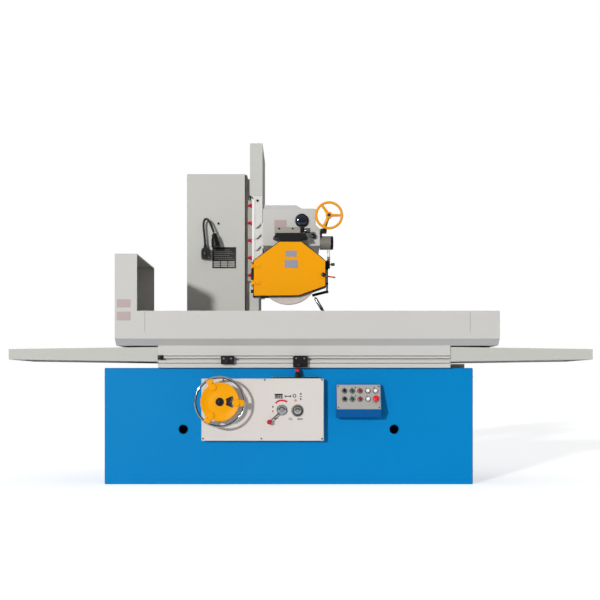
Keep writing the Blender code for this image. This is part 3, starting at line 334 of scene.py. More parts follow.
def paint(name, colour, roughness, uneven=0.05, peel=0.004, peel_height=0.00012, gloss=0.35, coat=0.0):
    """A sprayed coat: broad uneven film, and orange peel whose dimples are peel metres across."""
    tree, shader = blank(name, Coat_Weight=coat, Coat_Roughness=0.12, Specular_IOR_Level=gloss)
    tint(tree, shader, clouds(tree, 1.7, 2.0), darker(colour, uneven), colour)
    rough(tree, shader, clouds(tree, 9.0, 4.0), roughness - 0.05, roughness + 0.05)
    relief(tree, shader, clouds(tree, 1 / peel, 1.0), peel_height)


def plastic(name, colour, roughness, grain=0.0015):
    """Moulded plastic: even colour through the wall, with the mould's fine spark-eroded grain."""
    tree, shader = blank(name, IOR=1.46)
    tint(tree, shader, clouds(tree, 40.0, 2.0), darker(colour, 0.06), colour)
    rough(tree, shader, clouds(tree, 90.0, 3.0), roughness - 0.04, roughness + 0.04)
    relief(tree, shader, clouds(tree, 1 / grain, 1.0), 0.00004)


def metal(name, colour, low, high, stretch, lay=0.002, depth=0.00005, tone=0.12):
    """Bare metal with tool marks lay metres apart, drawn out along the axis with the small stretch."""
    tree, shader = blank(name, Metallic=1.0)
    marks = clouds(tree, 1 / lay, 3.0, stretch)
    tint(tree, shader, marks, darker(colour, tone), colour)
    rough(tree, shader, marks, low, high)
    relief(tree, shader, marks, depth)


def make_finishes(colours):
    # Gloss alkyd enamel sprayed over filled cast iron: a deep even blue with slow waves in its gloss.
    paint("sprayed_enamel_blue", colours.bed, 0.36, uneven=0.06, peel=0.012, peel_height=0.00025,
          gloss=0.08)
    # A deeper shade of the bed's enamel, standing in for the shade that the console's box lies in.
    paint("sprayed_enamel_blue_painted_shade", linear("0A5EA2"), 0.36, uneven=0.08, peel=0.012, peel_height=0.00025,
          gloss=0.1)
    # Two-pack machine enamel, satin: soft pale grey with faint orange peel.
    paint("sprayed_enamel_pale_grey", colours.head, 0.46, uneven=0.03, peel=0.006)
    # The same enamel on the filled column casting, a shade warmer, with slow filler waves.
    paint("sprayed_enamel_column_grey", colours.column, 0.48, uneven=0.045, peel=0.015, peel_height=0.0003)
    # The same machine enamel, lighter, as painted light: the carriage is drawn brighter than the head.
    paint("sprayed_enamel_grey_painted_light", linear("DDDBD7"), 0.44, uneven=0.02, peel=0.006)
    # The same enamel near white: a painted highlight for the carriage's lit edge strip.
    paint("sprayed_enamel_white_painted_highlight", linear("F1F0EC"), 0.40, uneven=0.015, peel=0.006)
    # Powder coat on folded sheet: even, with a fine pebble.
    paint("powder_coat_cover_grey", colours.covers, 0.50, uneven=0.03, peel=0.004)
    # Baked enamel sheet that is screen printed: flat, matt and clean.
    paint("screen_printed_sheet_beige", colours.panel, 0.52, uneven=0.02, peel=0.003, peel_height=0.00004)
    # Gloss safety-yellow enamel on steel sheet and castings.
    paint("sprayed_enamel_yellow", colours.guard, 0.38, uneven=0.05, peel=0.006, gloss=0.1)
    # Stove enamel on small castings: near black with a soft sheen.
    paint("stove_enamel_black", linear("0D0D10"), 0.40, uneven=0.2, peel=0.003, peel_height=0.00008,
          gloss=0.22)
    # Hammered enamel on the motors: grey with shallow round dimples.
    paint("hammered_enamel_grey", linear("8A877E"), 0.42, uneven=0.12, peel=0.005, peel_height=0.0005)
    # Painted shade: the darker line where the seams between folded sheets and the joint under the tray fall
    # in shade.
    paint("sprayed_enamel_shaded_grey", linear("8E8D8B"), 0.55, uneven=0.10, peel=0.006)
    # Moulded ABS and phenolic: glossy knobs, caps and buttons.
    plastic("moulded_phenolic_red", colours.knobs, 0.22)
    plastic("moulded_abs_signal_red", linear("E3132B"), 0.28)
    plastic("moulded_abs_dark_red", linear("8E0F2A"), 0.26)
    plastic("moulded_abs_green", linear("12502F"), 0.28)
    plastic("moulded_abs_white", linear("F2F1EC"), 0.30)
    plastic("moulded_abs_orange", linear("EC6A25"), 0.32)
    plastic("moulded_abs_black", linear("0B0B0D"), 0.34)
    plastic("moulded_abs_dark_grey", linear("3E3D40"), 0.45)
    plastic("moulded_rubber_black", linear("151517"), 0.66)
    plastic("screen_ink_black", linear("202024"), 0.6)
    plastic("screen_ink_red", linear("CB1F33"), 0.5)
    plastic("screen_ink_grey", linear("77726E"), 0.5)
    plastic("screen_ink_pale", linear("ABA8A0"), 0.5)
    # Surface-ground steel: fine lines along the table's travel.
    metal("ground_steel", linear("A09C94"), 0.26, 0.40, (0.03, 1, 1))
    # Turned steel: fine marks, the same size along every axis.
    metal("turned_steel", linear("A8A49C"), 0.22, 0.36, (1, 1, 1), lay=0.001)
    # Black-oxide cap screws: dark metal that still glints.
    metal("black_oxide_steel", linear("2B2B2E"), 0.32, 0.46, (1, 1, 1), lay=0.001, tone=0.3)
    # Brushed stainless sheet of the console: lines run across it.
    metal("brushed_stainless", linear("DAD6CF"), 0.34, 0.50, (0.03, 1, 1), lay=0.0012, depth=0.00003)
    # Hard chrome on the rim, dial sleeve, lever hub, speed knob, button bezels and a washer.
    metal("polished_chrome", linear("D2D2D2"), 0.06, 0.14, (1, 1, 1), lay=0.02, depth=0.00002, tone=0.05)
    # Dull chrome of the lever arm and the coolant nozzle: darker, so its edges draw the shape.
    metal("satin_chrome", linear("85868C"), 0.14, 0.24, (1, 1, 1), lay=0.004, depth=0.00002, tone=0.18)
    # Etched aluminium of the blank labels.
    metal("anodised_label", linear("90909E"), 0.42, 0.54, (0.05, 1, 1), lay=0.0015, depth=0.00001)
    make_wheel_finish(colours.wheel)
    make_chuck_finish(bpy.context.scene.grinder_sizes.pole_pitch)
    make_label_finish()
    make_glass_finish()


def make_wheel_finish(colour):
    """Vitrified alumina, its grit drawn 3 mm coarse so that it shows."""
    tree, shader = blank("vitrified_alumina", Roughness=0.92)
    place = add(tree, 'ShaderNodeTexCoord').outputs['Object']
    grit = add(tree, 'ShaderNodeTexVoronoi', {'Scale': 330.0}, {'Vector': place})
    tint(tree, shader, grit.outputs['Distance'], colour, darker(colour, 0.25))
    relief(tree, shader, grit.outputs['Distance'], 0.0008)


def make_chuck_finish(pitch):
    """Ground steel with brass between the poles, at the chuck's pole pitch along X."""
    tree, shader = blank("ground_chuck_poles", Metallic=1.0)
    place = add(tree, 'ShaderNodeTexCoord').outputs['Object']
    x = add(tree, 'ShaderNodeSeparateXYZ', links={'Vector': place}).outputs['X']
    share = add(tree, 'ShaderNodeMath', {'operation': 'DIVIDE', 1: pitch}, {0: x}).outputs[0]
    share = add(tree, 'ShaderNodeMath', {'operation': 'FRACT'}, {0: share}).outputs[0]
    brass = add(tree, 'ShaderNodeMath', {'operation': 'LESS_THAN', 1: 0.16}, {0: share}).outputs[0]
    tint(tree, shader, brass, linear("9D998F"), linear("B9965A"))
    marks = clouds(tree, 500.0, 3.0, (0.03, 1, 1))
    rough(tree, shader, marks, 0.24, 0.38)
    relief(tree, shader, marks, 0.00004)


def make_label_finish():
    """Printed foil labels: faint pink ink clouds on pale film, with no lettering."""
    tree, shader = blank("printed_foil_label", Roughness=0.45)
    tint(tree, shader, clouds(tree, 160.0, 2.0, (1, 1, 2.5)), linear("B98E8A"), linear("B0AFAE"))
    relief(tree, shader, clouds(tree, 60.0), 0.00003)


def make_glass_finish():
    """The domed sight glass: dark, hard and glossy, deep blue where light gets in."""
    tree, shader = blank("cast_acrylic_dark", IOR=1.49, Coat_Weight=0.6, Coat_Roughness=0.03)
    tint(tree, shader, clouds(tree, 30.0), linear("0C0E1C"), linear("191E38"))
    rough(tree, shader, clouds(tree, 20.0), 0.05, 0.12)


def coat_frame():
    """Put the real finish on each CAD node that keeps its own shape."""
    finishes = {
        "sprayed_enamel_blue": ("bed",),
        # The console's box takes the bed's enamel darkened with painted shade.
        "sprayed_enamel_blue_painted_shade": ("console_box",),
        "sprayed_enamel_column_grey": ("column", "column_front_cover", "column_way", "way_cover_upper"),
        "sprayed_enamel_pale_grey": ("table", "tray", "splash_hood", "wheelhead", "head_rear_cover"),
        # The carriage takes the lighter copy of the enamel: painted light.
        "sprayed_enamel_grey_painted_light": ("carriage",),
        "powder_coat_cover_grey": ("wing_left", "wing_right"),
        "screen_printed_sheet_beige": ("control_panel",),
        "sprayed_enamel_yellow": ("guard_door",),
        "stove_enamel_black": ("trip_dog_left", "trip_dog_right", "guard_casing", "dresser_base",
                               "coolant_line"),
        "ground_chuck_poles": ("magnetic_chuck",),
        "turned_steel": ("table_cylinder", "piston_rod", "spindle", "spindle_bearing_front",
                         "spindle_bearing_rear"),
        "ground_steel": ("lube_manifold", "dresser_slide"),
        "brushed_stainless": ("console_plate",),
        "moulded_abs_white": ("coolant_pipe",),
    }
    for finish, nodes in finishes.items():
        for node in nodes:
            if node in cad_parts:
                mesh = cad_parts[node].data
                mesh.materials.clear()
                mesh.materials.append(bpy.data.materials[finish])


# ---------------------------------------------------------------- stage

CAMERA_PLACE = (0.041, -7.060, 0.653)
LENS, SHIFT = 62.08, (0.00833, 0.14)


def set_stage(colours):
    """A pale floor, the main light from the upper left, a weak fill, a graded sky and the camera."""
    scene = bpy.context.scene
    scene.view_settings.view_transform = 'Standard'
    tree, shader = blank("matt_studio_floor", Roughness=0.9)
    shader.inputs['Emission Color'].default_value = (1.0, 1.0, 1.0, 1.0)
    # The floor glows to the camera only, so it reads white without lighting the object.
    looked_at = add(tree, 'ShaderNodeLightPath').outputs['Is Camera Ray']
    glow = add(tree, 'ShaderNodeMath', {'operation': 'MULTIPLY', 1: 0.52}, {0: looked_at})
    tree.links.new(glow.outputs[0], shader.inputs['Emission Strength'])
    tint(tree, shader, clouds(tree, 0.8), darker(colours.floor, 0.01), colours.floor)
    floor = start_block("studio_floor", (-30, -30, -0.20), (30, 30, -0.0005))
    rounded(floor, 0.05)
    floor.data.materials.append(bpy.data.materials["matt_studio_floor"])

    let_go()
    bpy.ops.object.light_add(type='SUN', location=(-3, -6, 5))
    sun = bpy.context.object
    sun.name = "main_light"
    sun.data.energy, sun.data.angle = 2.15, math.radians(4)
    sun.rotation_mode = 'QUATERNION'
    sun.rotation_quaternion = Vector((0.50, 1.0, -0.23)).to_track_quat('-Z', 'Y')

    let_go()
    bpy.ops.object.light_add(type='AREA', location=(4.2, -4.5, 1.4))
    fill = bpy.context.object
    fill.name = "fill_light"
    fill.data.shape, fill.data.size, fill.data.size_y, fill.data.energy = 'RECTANGLE', 2.0, 2.6, 9.0
    fill.rotation_mode = 'QUATERNION'
    fill.rotation_quaternion = (Vector((1.2, 0.0, 0.7)) - fill.location).to_track_quat('-Z', 'Y')

    world = bpy.data.worlds.new("graded_sky")
    scene.world = world
    world.use_nodes = True
    tree = world.node_tree
    for old in list(tree.nodes):
        tree.nodes.remove(old)
    seen = add(tree, 'ShaderNodeLightPath').outputs['Is Camera Ray']
    towards = add(tree, 'ShaderNodeTexCoord').outputs['Generated']
    height = add(tree, 'ShaderNodeSeparateXYZ', links={'Vector': towards}).outputs['Z']
    strength = add(tree, 'ShaderNodeMapRange',
                   {'From Min': 0.0, 'From Max': 0.9, 'To Min': 0.12, 'To Max': 0.52},
                   {'Value': height}).outputs['Result']
    sky = add(tree, 'ShaderNodeBackground', {'Color': (0.97, 0.985, 1.0, 1.0)}, {'Strength': strength})
    backdrop = add(tree, 'ShaderNodeBackground', {'Color': (1.0, 1.0, 1.0, 1.0), 'Strength': 1.0})
    both = add(tree, 'ShaderNodeMixShader', links={0: seen, 1: sky.outputs[0], 2: backdrop.outputs[0]})
    add(tree, 'ShaderNodeOutputWorld', links={'Surface': both.outputs[0]})

    let_go()
    bpy.ops.object.camera_add(location=CAMERA_PLACE, rotation=(math.radians(90), 0, 0))
    camera = bpy.context.object
    camera.name = "view_camera"
    camera.data.sensor_width, camera.data.lens = 36.0, LENS
    camera.data.shift_x, camera.data.shift_y = SHIFT
    camera.data.clip_end = 200.0
    scene.camera = camera


# ---------------------------------------------------------------- vertical-feed handwheel

def make_feed_handwheel(sizes):
    low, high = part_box("feed_handwheel")
    centre = Vector(((low.x + high.x) / 2, low.y + 0.018, (low.z + high.z) / 2))
    body = "feed_handwheel"

    # A dished disc with a raised lip and a sector window over the dial.
    disc = turned("feed_disc", [(0.121, -0.004), (0.124, -0.001), (0.124, 0.009), (0.121, 0.012),
                                (0.113, 0.012), (0.109, 0.0095), (0.060, 0.0095), (0.050, 0.0115),
                                (0.034, 0.0115)], (0, 0, 0), ALONG_Z, sides=96)
    window = turned("window", [(0.090, -0.03), (0.090, 0.03), (0.042, 0.03), (0.042, -0.03)],
                    (0, 0, 0), ALONG_Z, sides=96, ring=True)
    half = math.radians(26)
    trimmed(window, ((0, 0, 0), (-math.sin(half), math.cos(half), 0)),
            ((0, 0, 0), (-math.sin(half), -math.cos(half), 0)))
    bored(disc, window)
    stand = Matrix.Translation(centre) @ Matrix.Rotation(math.radians(90), 4, 'X')
    disc.matrix_world = stand
    settle(disc)
    done(disc, "sprayed_enamel_yellow", body, "guard_yellow", "feed_handwheel")

    # Three lugs carry the rim, each with a boss and a cap screw over its root.
    for number, angle in enumerate((-3, 116, 236)):
        turn = math.radians(angle)
        lug = start_block(f"feed_lug_{number}", (0.100, -0.021, -0.0045), (0.1560, 0.021, 0.0135))
        rounded(lug, 0.004, 3)
        boss = turned("boss", [(0.024, 0.0), (0.024, 0.014), (0.021, 0.017)], (0.104, 0, 0), ALONG_Z)
        lug = joined(lug.name, lug, boss)
        lug.matrix_world = stand @ Matrix.Rotation(turn, 4, 'Z')
        settle(lug)
        done(lug, "sprayed_enamel_yellow", body, "guard_yellow")
        out = Vector((math.cos(turn), 0, math.sin(turn)))
        side = Vector((math.sin(turn), 0, -math.cos(turn)))
        cap_screw(f"feed_lug_screw_{number}", centre + out * 0.126 + side * 0.010 - Vector((0, 0.0125, 0)),
                  TO_FRONT, 0.0038, "black_oxide_steel", body, "black_enamel")

    let_go()
    bpy.ops.mesh.primitive_torus_add(major_segments=128, minor_segments=20, major_radius=sizes.rim,
                                     minor_radius=sizes.rim_bar, location=centre,
                                     rotation=(math.radians(90), 0, 0))
    done(settle(bpy.context.object, "feed_rim"), "polished_chrome", body, "chrome")
    # A black ring just inside the chrome rim: a painted dark reflection, the dark band a chrome tube shows.
    let_go()
    bpy.ops.mesh.primitive_torus_add(major_segments=128, minor_segments=12, major_radius=sizes.rim - 0.0048,
                                     minor_radius=0.0042, location=centre - Vector((0, 0.0028, 0)),
                                     rotation=(math.radians(90), 0, 0))
    done(settle(bpy.context.object, "feed_rim_dark_reflection"), "moulded_rubber_black", body, "black_plastic")

    hub = turned("feed_hub", [(0.0262, 0.004), (0.0262, 0.0155), (0.0235, 0.018), (0.013, 0.018),
                              (0.012, 0.0165)], centre, TO_FRONT)
    done(hub, "stove_enamel_black", body, "black_enamel")
    nut = turned("feed_hub_nut", [(0.011, 0.015), (0.011, 0.0172), (0.0095, 0.018)], centre, TO_FRONT,
                 sides=6)
    done(nut, "black_oxide_steel", body, "black_enamel")
    shaft = bar("feed_shaft", centre + Vector((0, 0.002, 0)), (centre.x, high.y, centre.z), 0.015, edge=0.001)
    done(shaft, "turned_steel", body, "ground_steel")

    # The fixed dial behind the disc: a chromed sleeve, a black face and pale graduations.
    dial_low, dial_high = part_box("feed_dial")
    back = Vector((centre.x, dial_high.y, centre.z))
    sleeve = turned("feed_dial_sleeve", [(0.0285, 0.0), (0.0285, 0.078), (0.050, 0.084), (0.098, 0.0865),
                                         (0.100, 0.088), (0.100, 0.093), (0.0985, 0.0945), (0.0158, 0.0945),
                                         (0.0158, 0.0)], back, TO_FRONT, sides=64, ring=True)
    done(sleeve, "polished_chrome", "root", "chrome", "feed_dial")
    front = back + Vector((0, dial_low.y - dial_high.y, 0))
    face = turned("feed_dial_face", [(0.094, -0.001), (0.094, 0.0004), (0.028, 0.0004), (0.028, -0.001)],
                  front, TO_FRONT, sides=64, ring=True)
    done(face, "moulded_abs_black", "root", "black_plastic")
    marks = []
    for step in range(60):
        inner = 0.076 if step % 5 else 0.066
        tick = start_block("tick", (inner, -0.0006, 0.0), (0.089, 0.0006, 0.0007))
        turn = math.radians(step * 6)
        tick.matrix_world = Matrix.Translation(front) @ Matrix.Rotation(math.radians(90), 4, 'X') \
            @ Matrix.Rotation(turn, 4, 'Z')
        marks.append(settle(tick))
    done(joined("feed_dial_marks", *marks), "moulded_abs_white", "root", "white_plastic")


# ---------------------------------------------------------------- levers, knob and panel

def panel_spot(x, z, out=0.0):
    return Vector((x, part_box("control_panel")[0].y - out, z))


def make_levers(sizes):
    low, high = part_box("hydraulic_lever")
    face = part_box("control_panel")[0].y
    hub = Vector((-0.043, face, 0.485))
    tip = Vector((low.x + 0.016, low.y + 0.016, low.z + 0.016))
    seat = turned("lever_hub", [(0.031, 0.0005), (0.031, 0.006), (0.029, 0.008), (0.0275, 0.009),
                                (0.0265, 0.022), (0.0245, 0.0255), (0.014, 0.0265), (0.013, 0.0255)],
                  hub, TO_FRONT)
    done(seat, "polished_chrome", "hydraulic_lever", "chrome", "hydraulic_lever")
    # A dark grey ring round the hub on the panel: a painted shadow.
    shadow_ring = turned("lever_hub_shadow_ring", [(0.0345, 0.0002), (0.0345, 0.0022), (0.0318, 0.0022),
                                            (0.0318, 0.0002)], hub, TO_FRONT, sides=64, ring=True)
    done(shadow_ring, "moulded_abs_dark_grey", "root", "black_plastic")
    axle = bar("lever_axle", hub + Vector((0, 0.019, 0)), hub - Vector((0, 0.002, 0)), 0.0078)
    done(axle, "turned_steel", "hydraulic_lever", "ground_steel")
    arm = bar("lever_arm", hub - Vector((0, 0.018, 0)), tip, 0.0046, 0.0040, edge=0.0005)
    done(arm, "satin_chrome", "hydraulic_lever", "chrome")
    make_ball("lever_ball", tip, hub - Vector((0, 0.018, 0)) - tip, sizes.ball,
              "hydraulic_lever")

    low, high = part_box("speed_knob")
    place = Vector(((low.x + high.x) / 2, face, (low.z + high.z) / 2))
    skirt = turned("speed_knob_skirt", [(0.0345, 0.0005), (0.035, 0.002), (0.034, 0.005), (0.0265, 0.0075),
                                        (0.026, 0.010)], place, TO_FRONT, sides=64)
    done(skirt, "moulded_abs_dark_grey", "speed_knob", "black_plastic", "speed_knob")
    cap = turned("speed_knob_cap", [(0.025, 0.009), (0.0235, 0.022), (0.021, 0.0255), (0.010, 0.0262),
                                    (0.009, 0.0252)], place, TO_FRONT, sides=64)
    done(cap, "polished_chrome", "speed_knob", "chrome")
    stem = bar("speed_knob_stem", place + Vector((0, 0.0195, 0)), place - Vector((0, 0.002, 0)), 0.0058)
    done(stem, "turned_steel", "speed_knob", "ground_steel")
    grips = []
    for step in range(24):
        turn = math.radians(step * 15)
        rib = bar("rib", (0.0243 * math.cos(turn), 0.0243 * math.sin(turn), 0.010),
                  (0.0228 * math.cos(turn), 0.0228 * math.sin(turn), 0.0225), 0.0011, sides=8)
        rib.matrix_world = Matrix.Translation(place) @ facing(TO_FRONT)
        grips.append(settle(rib))
    done(joined("speed_knob_ribs", *grips), "polished_chrome", "speed_knob", "chrome")

    low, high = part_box("reversing_lever")
    pivot = Vector(((low.x + high.x) / 2, (low.y + high.y) / 2, low.z + 0.0175))
    drum = turned("reversing_drum", [(0.0155, -0.013), (0.0175, -0.011), (0.0175, 0.011), (0.0155, 0.013),
                                     (0.007, 0.013), (0.0065, 0.011)], pivot, TO_FRONT)
    done(drum, "stove_enamel_black", "reversing_lever", "black_enamel", "reversing_lever")
    make_ball("reversing_ball", pivot + Vector((0, 0, 0.024)), -ALONG_Z, 0.0155, "reversing_lever")


def make_ball(name, centre, towards_arm, radius, body):
    """A red ball knob with a flat where it screws on."""
    steps = []
    for number in range(1, 16):
        angle = math.radians(-75 + number * 10.5)
        steps.append((radius * math.cos(angle), radius * math.sin(angle)))
    knob = turned(name, steps, centre, -Vector(towards_arm), sides=40)
    return done(knob, "moulded_phenolic_red", body, "red_plastic", smooth=60)


def make_panel_details(sizes):
    """Screws, a black lever base, and generic printed symbols without lettering."""
    low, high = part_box("control_panel")
    face = low.y
    for number, (x, z) in enumerate((
            (low.x + 0.010, 0.300), (-0.422, 0.680), (-0.154, 0.680), (-0.176, 0.300),
            (high.x - 0.012, 0.680), (high.x - 0.012, 0.300))):
        cap_screw(f"panel_screw_{number}", panel_spot(x, z), TO_FRONT, sizes.screw,
                  "black_oxide_steel", "root", "black_enamel")

    base = start_block("reversing_lever_base", (-0.1055, -0.3785, 0.6884), (0.2025, -0.3215, 0.6985))
    rounded(base, 0.002)
    done(base, "stove_enamel_black", "root", "black_enamel")
    for number, (front, back) in enumerate(((-0.3783, -0.3768), (-0.3452, -0.3437))):
        cheek = start_block(f"reversing_lever_cheek_{number}", (0.040, front, 0.6975), (0.076, back, 0.713))
        done(rounded(cheek, 0.0004), "stove_enamel_black", "root", "black_enamel")

    edge = turned("knob_ring", [(0.0405, 0.0), (0.040, 0.0012), (0.0372, 0.0012), (0.0368, 0.0)],
                  panel_spot(0.058, 0.481), TO_FRONT, ring=True)
    done(edge, "screen_ink_grey", "root", "black_enamel")

    black, red, grey = [], [], []

    def inked(ink, low_corner, high_corner, turn=0.0):
        """A thin printed patch in the panel's own plane, given by two (x, z) corners."""
        middle = Vector(((low_corner[0] + high_corner[0]) / 2, 0, (low_corner[1] + high_corner[1]) / 2))
        half = Vector(((high_corner[0] - low_corner[0]) / 2, 0.0003, (high_corner[1] - low_corner[1]) / 2))
        patch = start_block("ink", -half, half)
        patch.matrix_world = Matrix.Translation(Vector((middle.x, face, middle.z))) \
            @ Matrix.Rotation(turn, 4, 'Y')
        ink.append(settle(patch))

    def arrow(ink, x, z, turn, size=0.006):
        head = turned("ink", [(size, -0.0003), (size, 0.0003)], (0, 0, 0), ALONG_Z, sides=3)
        head.matrix_world = Matrix.Translation(Vector((x, face, z))) @ facing(TO_FRONT) \
            @ Matrix.Rotation(turn, 4, 'Z')
        ink.append(settle(head))

    def loop(ink, x, z, radius, width):
        ink.append(turned("ink", [(radius, -0.0003), (radius, 0.0003), (radius - width, 0.0003),
                                  (radius - width, -0.0003)], (x, face, z), TO_FRONT, ring=True))

    # A table on its ways under a wheel, a travel arrow, a circle and an up-and-down arrow.
    inked(black, (-0.091, 0.578), (-0.038, 0.590))
    inked(black, (-0.087, 0.5665), (-0.070, 0.5765))
    inked(black, (-0.0665, 0.5665), (-0.0555, 0.5765))
    inked(black, (-0.052, 0.5665), (-0.040, 0.5765))
    inked(black, (-0.091, 0.5595), (-0.036, 0.5650))
    inked(black, (-0.020, 0.5712), (0.011, 0.5764))
    arrow(black, -0.021, 0.5738, math.radians(180), 0.009)
    arrow(black, 0.012, 0.5738, 0.0, 0.009)
    loop(black, 0.0375, 0.5765, 0.0118, 0.0050)
    arrow(black, 0.078, 0.589, math.radians(90), 0.0095)
    arrow(black, 0.078, 0.556, math.radians(-90), 0.0095)
    inked(black, (0.070, 0.5700), (0.086, 0.5745))
    loop(red, 0.0445, 0.546, 0.0075, 0.0032)
    arrow(red, 0.0445, 0.546, math.radians(90), 0.0042)
    sweep = turned("ink", [(0.068, -0.0003), (0.068, 0.0003), (0.056, 0.0003), (0.056, -0.0003)],
                   (0, 0, 0), TO_FRONT, sides=96, ring=True)
    half = math.radians(33)
    trimmed(sweep, ((0, 0, 0), (math.cos(half), 0, -math.sin(half))),
            ((0, 0, 0), (-math.cos(half), 0, -math.sin(half))))
    sweep.matrix_world = Matrix.Translation(Vector((-0.043, face, 0.485)))
    red.append(settle(sweep))
    arrow(red, -0.080, 0.532, math.radians(205), 0.0105)
    inked(black, (-0.1060, 0.5000), (-0.0975, 0.5120))
    inked(red, (-0.1060, 0.4710), (-0.0975, 0.4830))
    loop(grey, 0.016, 0.427, 0.0085, 0.0034)
    inked(grey, (0.001, 0.4205), (0.0050, 0.4335))
    for x in (0.058, 0.067, 0.076, 0.085):
        inked(grey, (x, 0.4205), (x + 0.0042, 0.4335))
    inked(grey, (0.056, 0.4245), (0.091, 0.4285))
    arrow(black, -0.087, 0.4315, math.radians(180), 0.0085)
    inked(black, (-0.083, 0.4292), (-0.068, 0.4338))
    done(joined("panel_print_black", *black), "screen_ink_black", "root", "black_enamel")
    done(joined("panel_print_red", *red), "screen_ink_red", "root", "red_plastic")
    done(joined("panel_print_grey", *grey), "screen_ink_grey", "root", "black_enamel")


# ---------------------------------------------------------------- push-button console

CONSOLE_FOOT, CONSOLE_TOP = Vector((0, -0.430, 0.488)), Vector((0, -0.365, 0.650))
BUTTON_FIRST_X, BUTTON_PITCH, BUTTON_ROWS, PLATE = 0.361, 0.050, (0.041, -0.016), 0.003


def console_spot(x, up_slope, out=PLATE):
    """A point on the console's plate, given across and up the slope from its middle."""
    up = (CONSOLE_TOP - CONSOLE_FOOT).normalized()
    middle = (CONSOLE_TOP + CONSOLE_FOOT) / 2
    place = middle + up * up_slope + console_out() * out
    place.x = x
    return place


def console_out():
    return ALONG_X.cross((CONSOLE_TOP - CONSOLE_FOOT).normalized())


def make_console(sizes):
    out = console_out()
    low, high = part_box("console_plate")
    half_slope = (CONSOLE_TOP - CONSOLE_FOOT).length / 2
    for number, (x, s) in enumerate((
            (low.x + 0.010, half_slope - 0.014), (high.x - 0.010, half_slope - 0.014),
            (low.x + 0.010, 0.014 - half_slope), (high.x - 0.010, 0.014 - half_slope))):
        cap_screw(f"console_screw_{number}", console_spot(x, s), out, 0.0042, "black_oxide_steel",
                  "root", "black_enamel")
    names = (("selector_upper", "button_green_upper", "button_red_upper", "button_white_upper", "pilot_lamp"),
             ("selector_lower", "button_green_lower", "button_red_lower", "button_white_lower",
              "emergency_stop"))
    r = sizes.button
    for row, height in enumerate(BUTTON_ROWS):
        for column in range(5):
            name = names[row][column]
            place = console_spot(BUTTON_FIRST_X + column * BUTTON_PITCH, height)
            bezel = turned(f"bezel_{name}", [(0.0168, 0.0), (0.0168, 0.0020), (0.0150, 0.0042),
                                             (0.0128, 0.0042), (0.0122, 0.0030), (0.0122, 0.0)],
                           place, out, ring=True)
            done(bezel, "polished_chrome", "root", "chrome")
            # A black ring under each bezel: a painted shadow round its foot.
            bezel_shadow_ring = turned(f"gasket_{name}", [(0.0188, -0.0002), (0.0188, 0.0008), (0.0160, 0.0008),
                                               (0.0160, -0.0002)], place, out, ring=True)
            done(bezel_shadow_ring, "moulded_rubber_black", "root", "black_plastic")
            if name == "pilot_lamp":
                lens = turned("pilot_lens", [(0.0118, 0.0), (0.0118, 0.009), (0.0105, 0.0122),
                                             (0.0075, 0.0140), (0.004, 0.0148)], place, out)
                done(lens, "moulded_abs_white", "root", "white_plastic", smooth=60)
                continue
            stem = bar(f"stem_{name}", place - out * 0.0138, place + out * 0.0052, 0.0039)
            done(stem, "moulded_abs_black", name, "black_plastic", name)
            if name == "emergency_stop":
                neck = turned("stop_neck", [(0.0112, 0.0046), (0.0112, 0.0130)], place, out)
                done(neck, "moulded_abs_black", name, "black_plastic")
                head = turned("stop_head", [(0.0115, 0.0120), (0.0185, 0.0155), (0.0192, 0.0170),
                                            (0.0192, 0.0200), (0.0180, 0.0225), (0.0120, 0.0250),
                                            (0.0060, 0.0258)], place, out)
                done(head, "moulded_abs_signal_red", name, "red_plastic", smooth=60)
            elif name.startswith("selector"):
                base = turned(f"base_{name}", [(r, 0.0047), (r, 0.0060), (0.0105, 0.0068)], place, out)
                done(base, "moulded_abs_black", name, "black_plastic")
                grip = start_block(f"grip_{name}", (-0.0035, -0.0113, 0.006), (0.0035, 0.0113, 0.0198))
                rounded(grip, 0.0016, 3)
                tilt = Matrix((ALONG_X, out.cross(ALONG_X), out)).transposed().to_4x4()
                grip.matrix_world = Matrix.Translation(place) @ tilt
                done(settle(grip), "moulded_abs_black", name, "black_plastic")
            else:
                finish, slot = {"green": ("moulded_abs_green", "green_plastic"),
                                "red": ("moulded_abs_dark_red", "red_plastic"),
                                "white": ("moulded_abs_white", "white_plastic")}[name.split("_")[1]]
                cap = turned(f"cap_{name}", [(r, 0.0047), (r, 0.0105), (r - 0.001, 0.0118),
                                             (r - 0.002, 0.0122), (r - 0.003, 0.0118), (0.004, 0.0112)],
                             place, out)
                done(cap, finish, name, slot)
    for number, (x, s) in enumerate(((0.357, 0.063), (0.409, 0.064), (0.431, 0.064), (0.455, 0.063),
                                     (0.500, 0.062), (0.552, 0.063), (0.345, 0.008), (0.405, 0.006),
                                     (0.431, 0.007), (0.460, 0.006), (0.505, 0.006))):
        size = 0.0045 if number in (2, 5, 8) else 0.0028
        dot = turned(f"console_mark_{number}", [(size, 0.0), (size, 0.0006), (size * 0.8, 0.0009)],
                     console_spot(x, s), out, sides=24)
        done(dot, "screen_ink_black" if number % 3 else "screen_ink_red", "root",
             "black_enamel" if number % 3 else "red_plastic")


# ---------------------------------------------------------------- bed

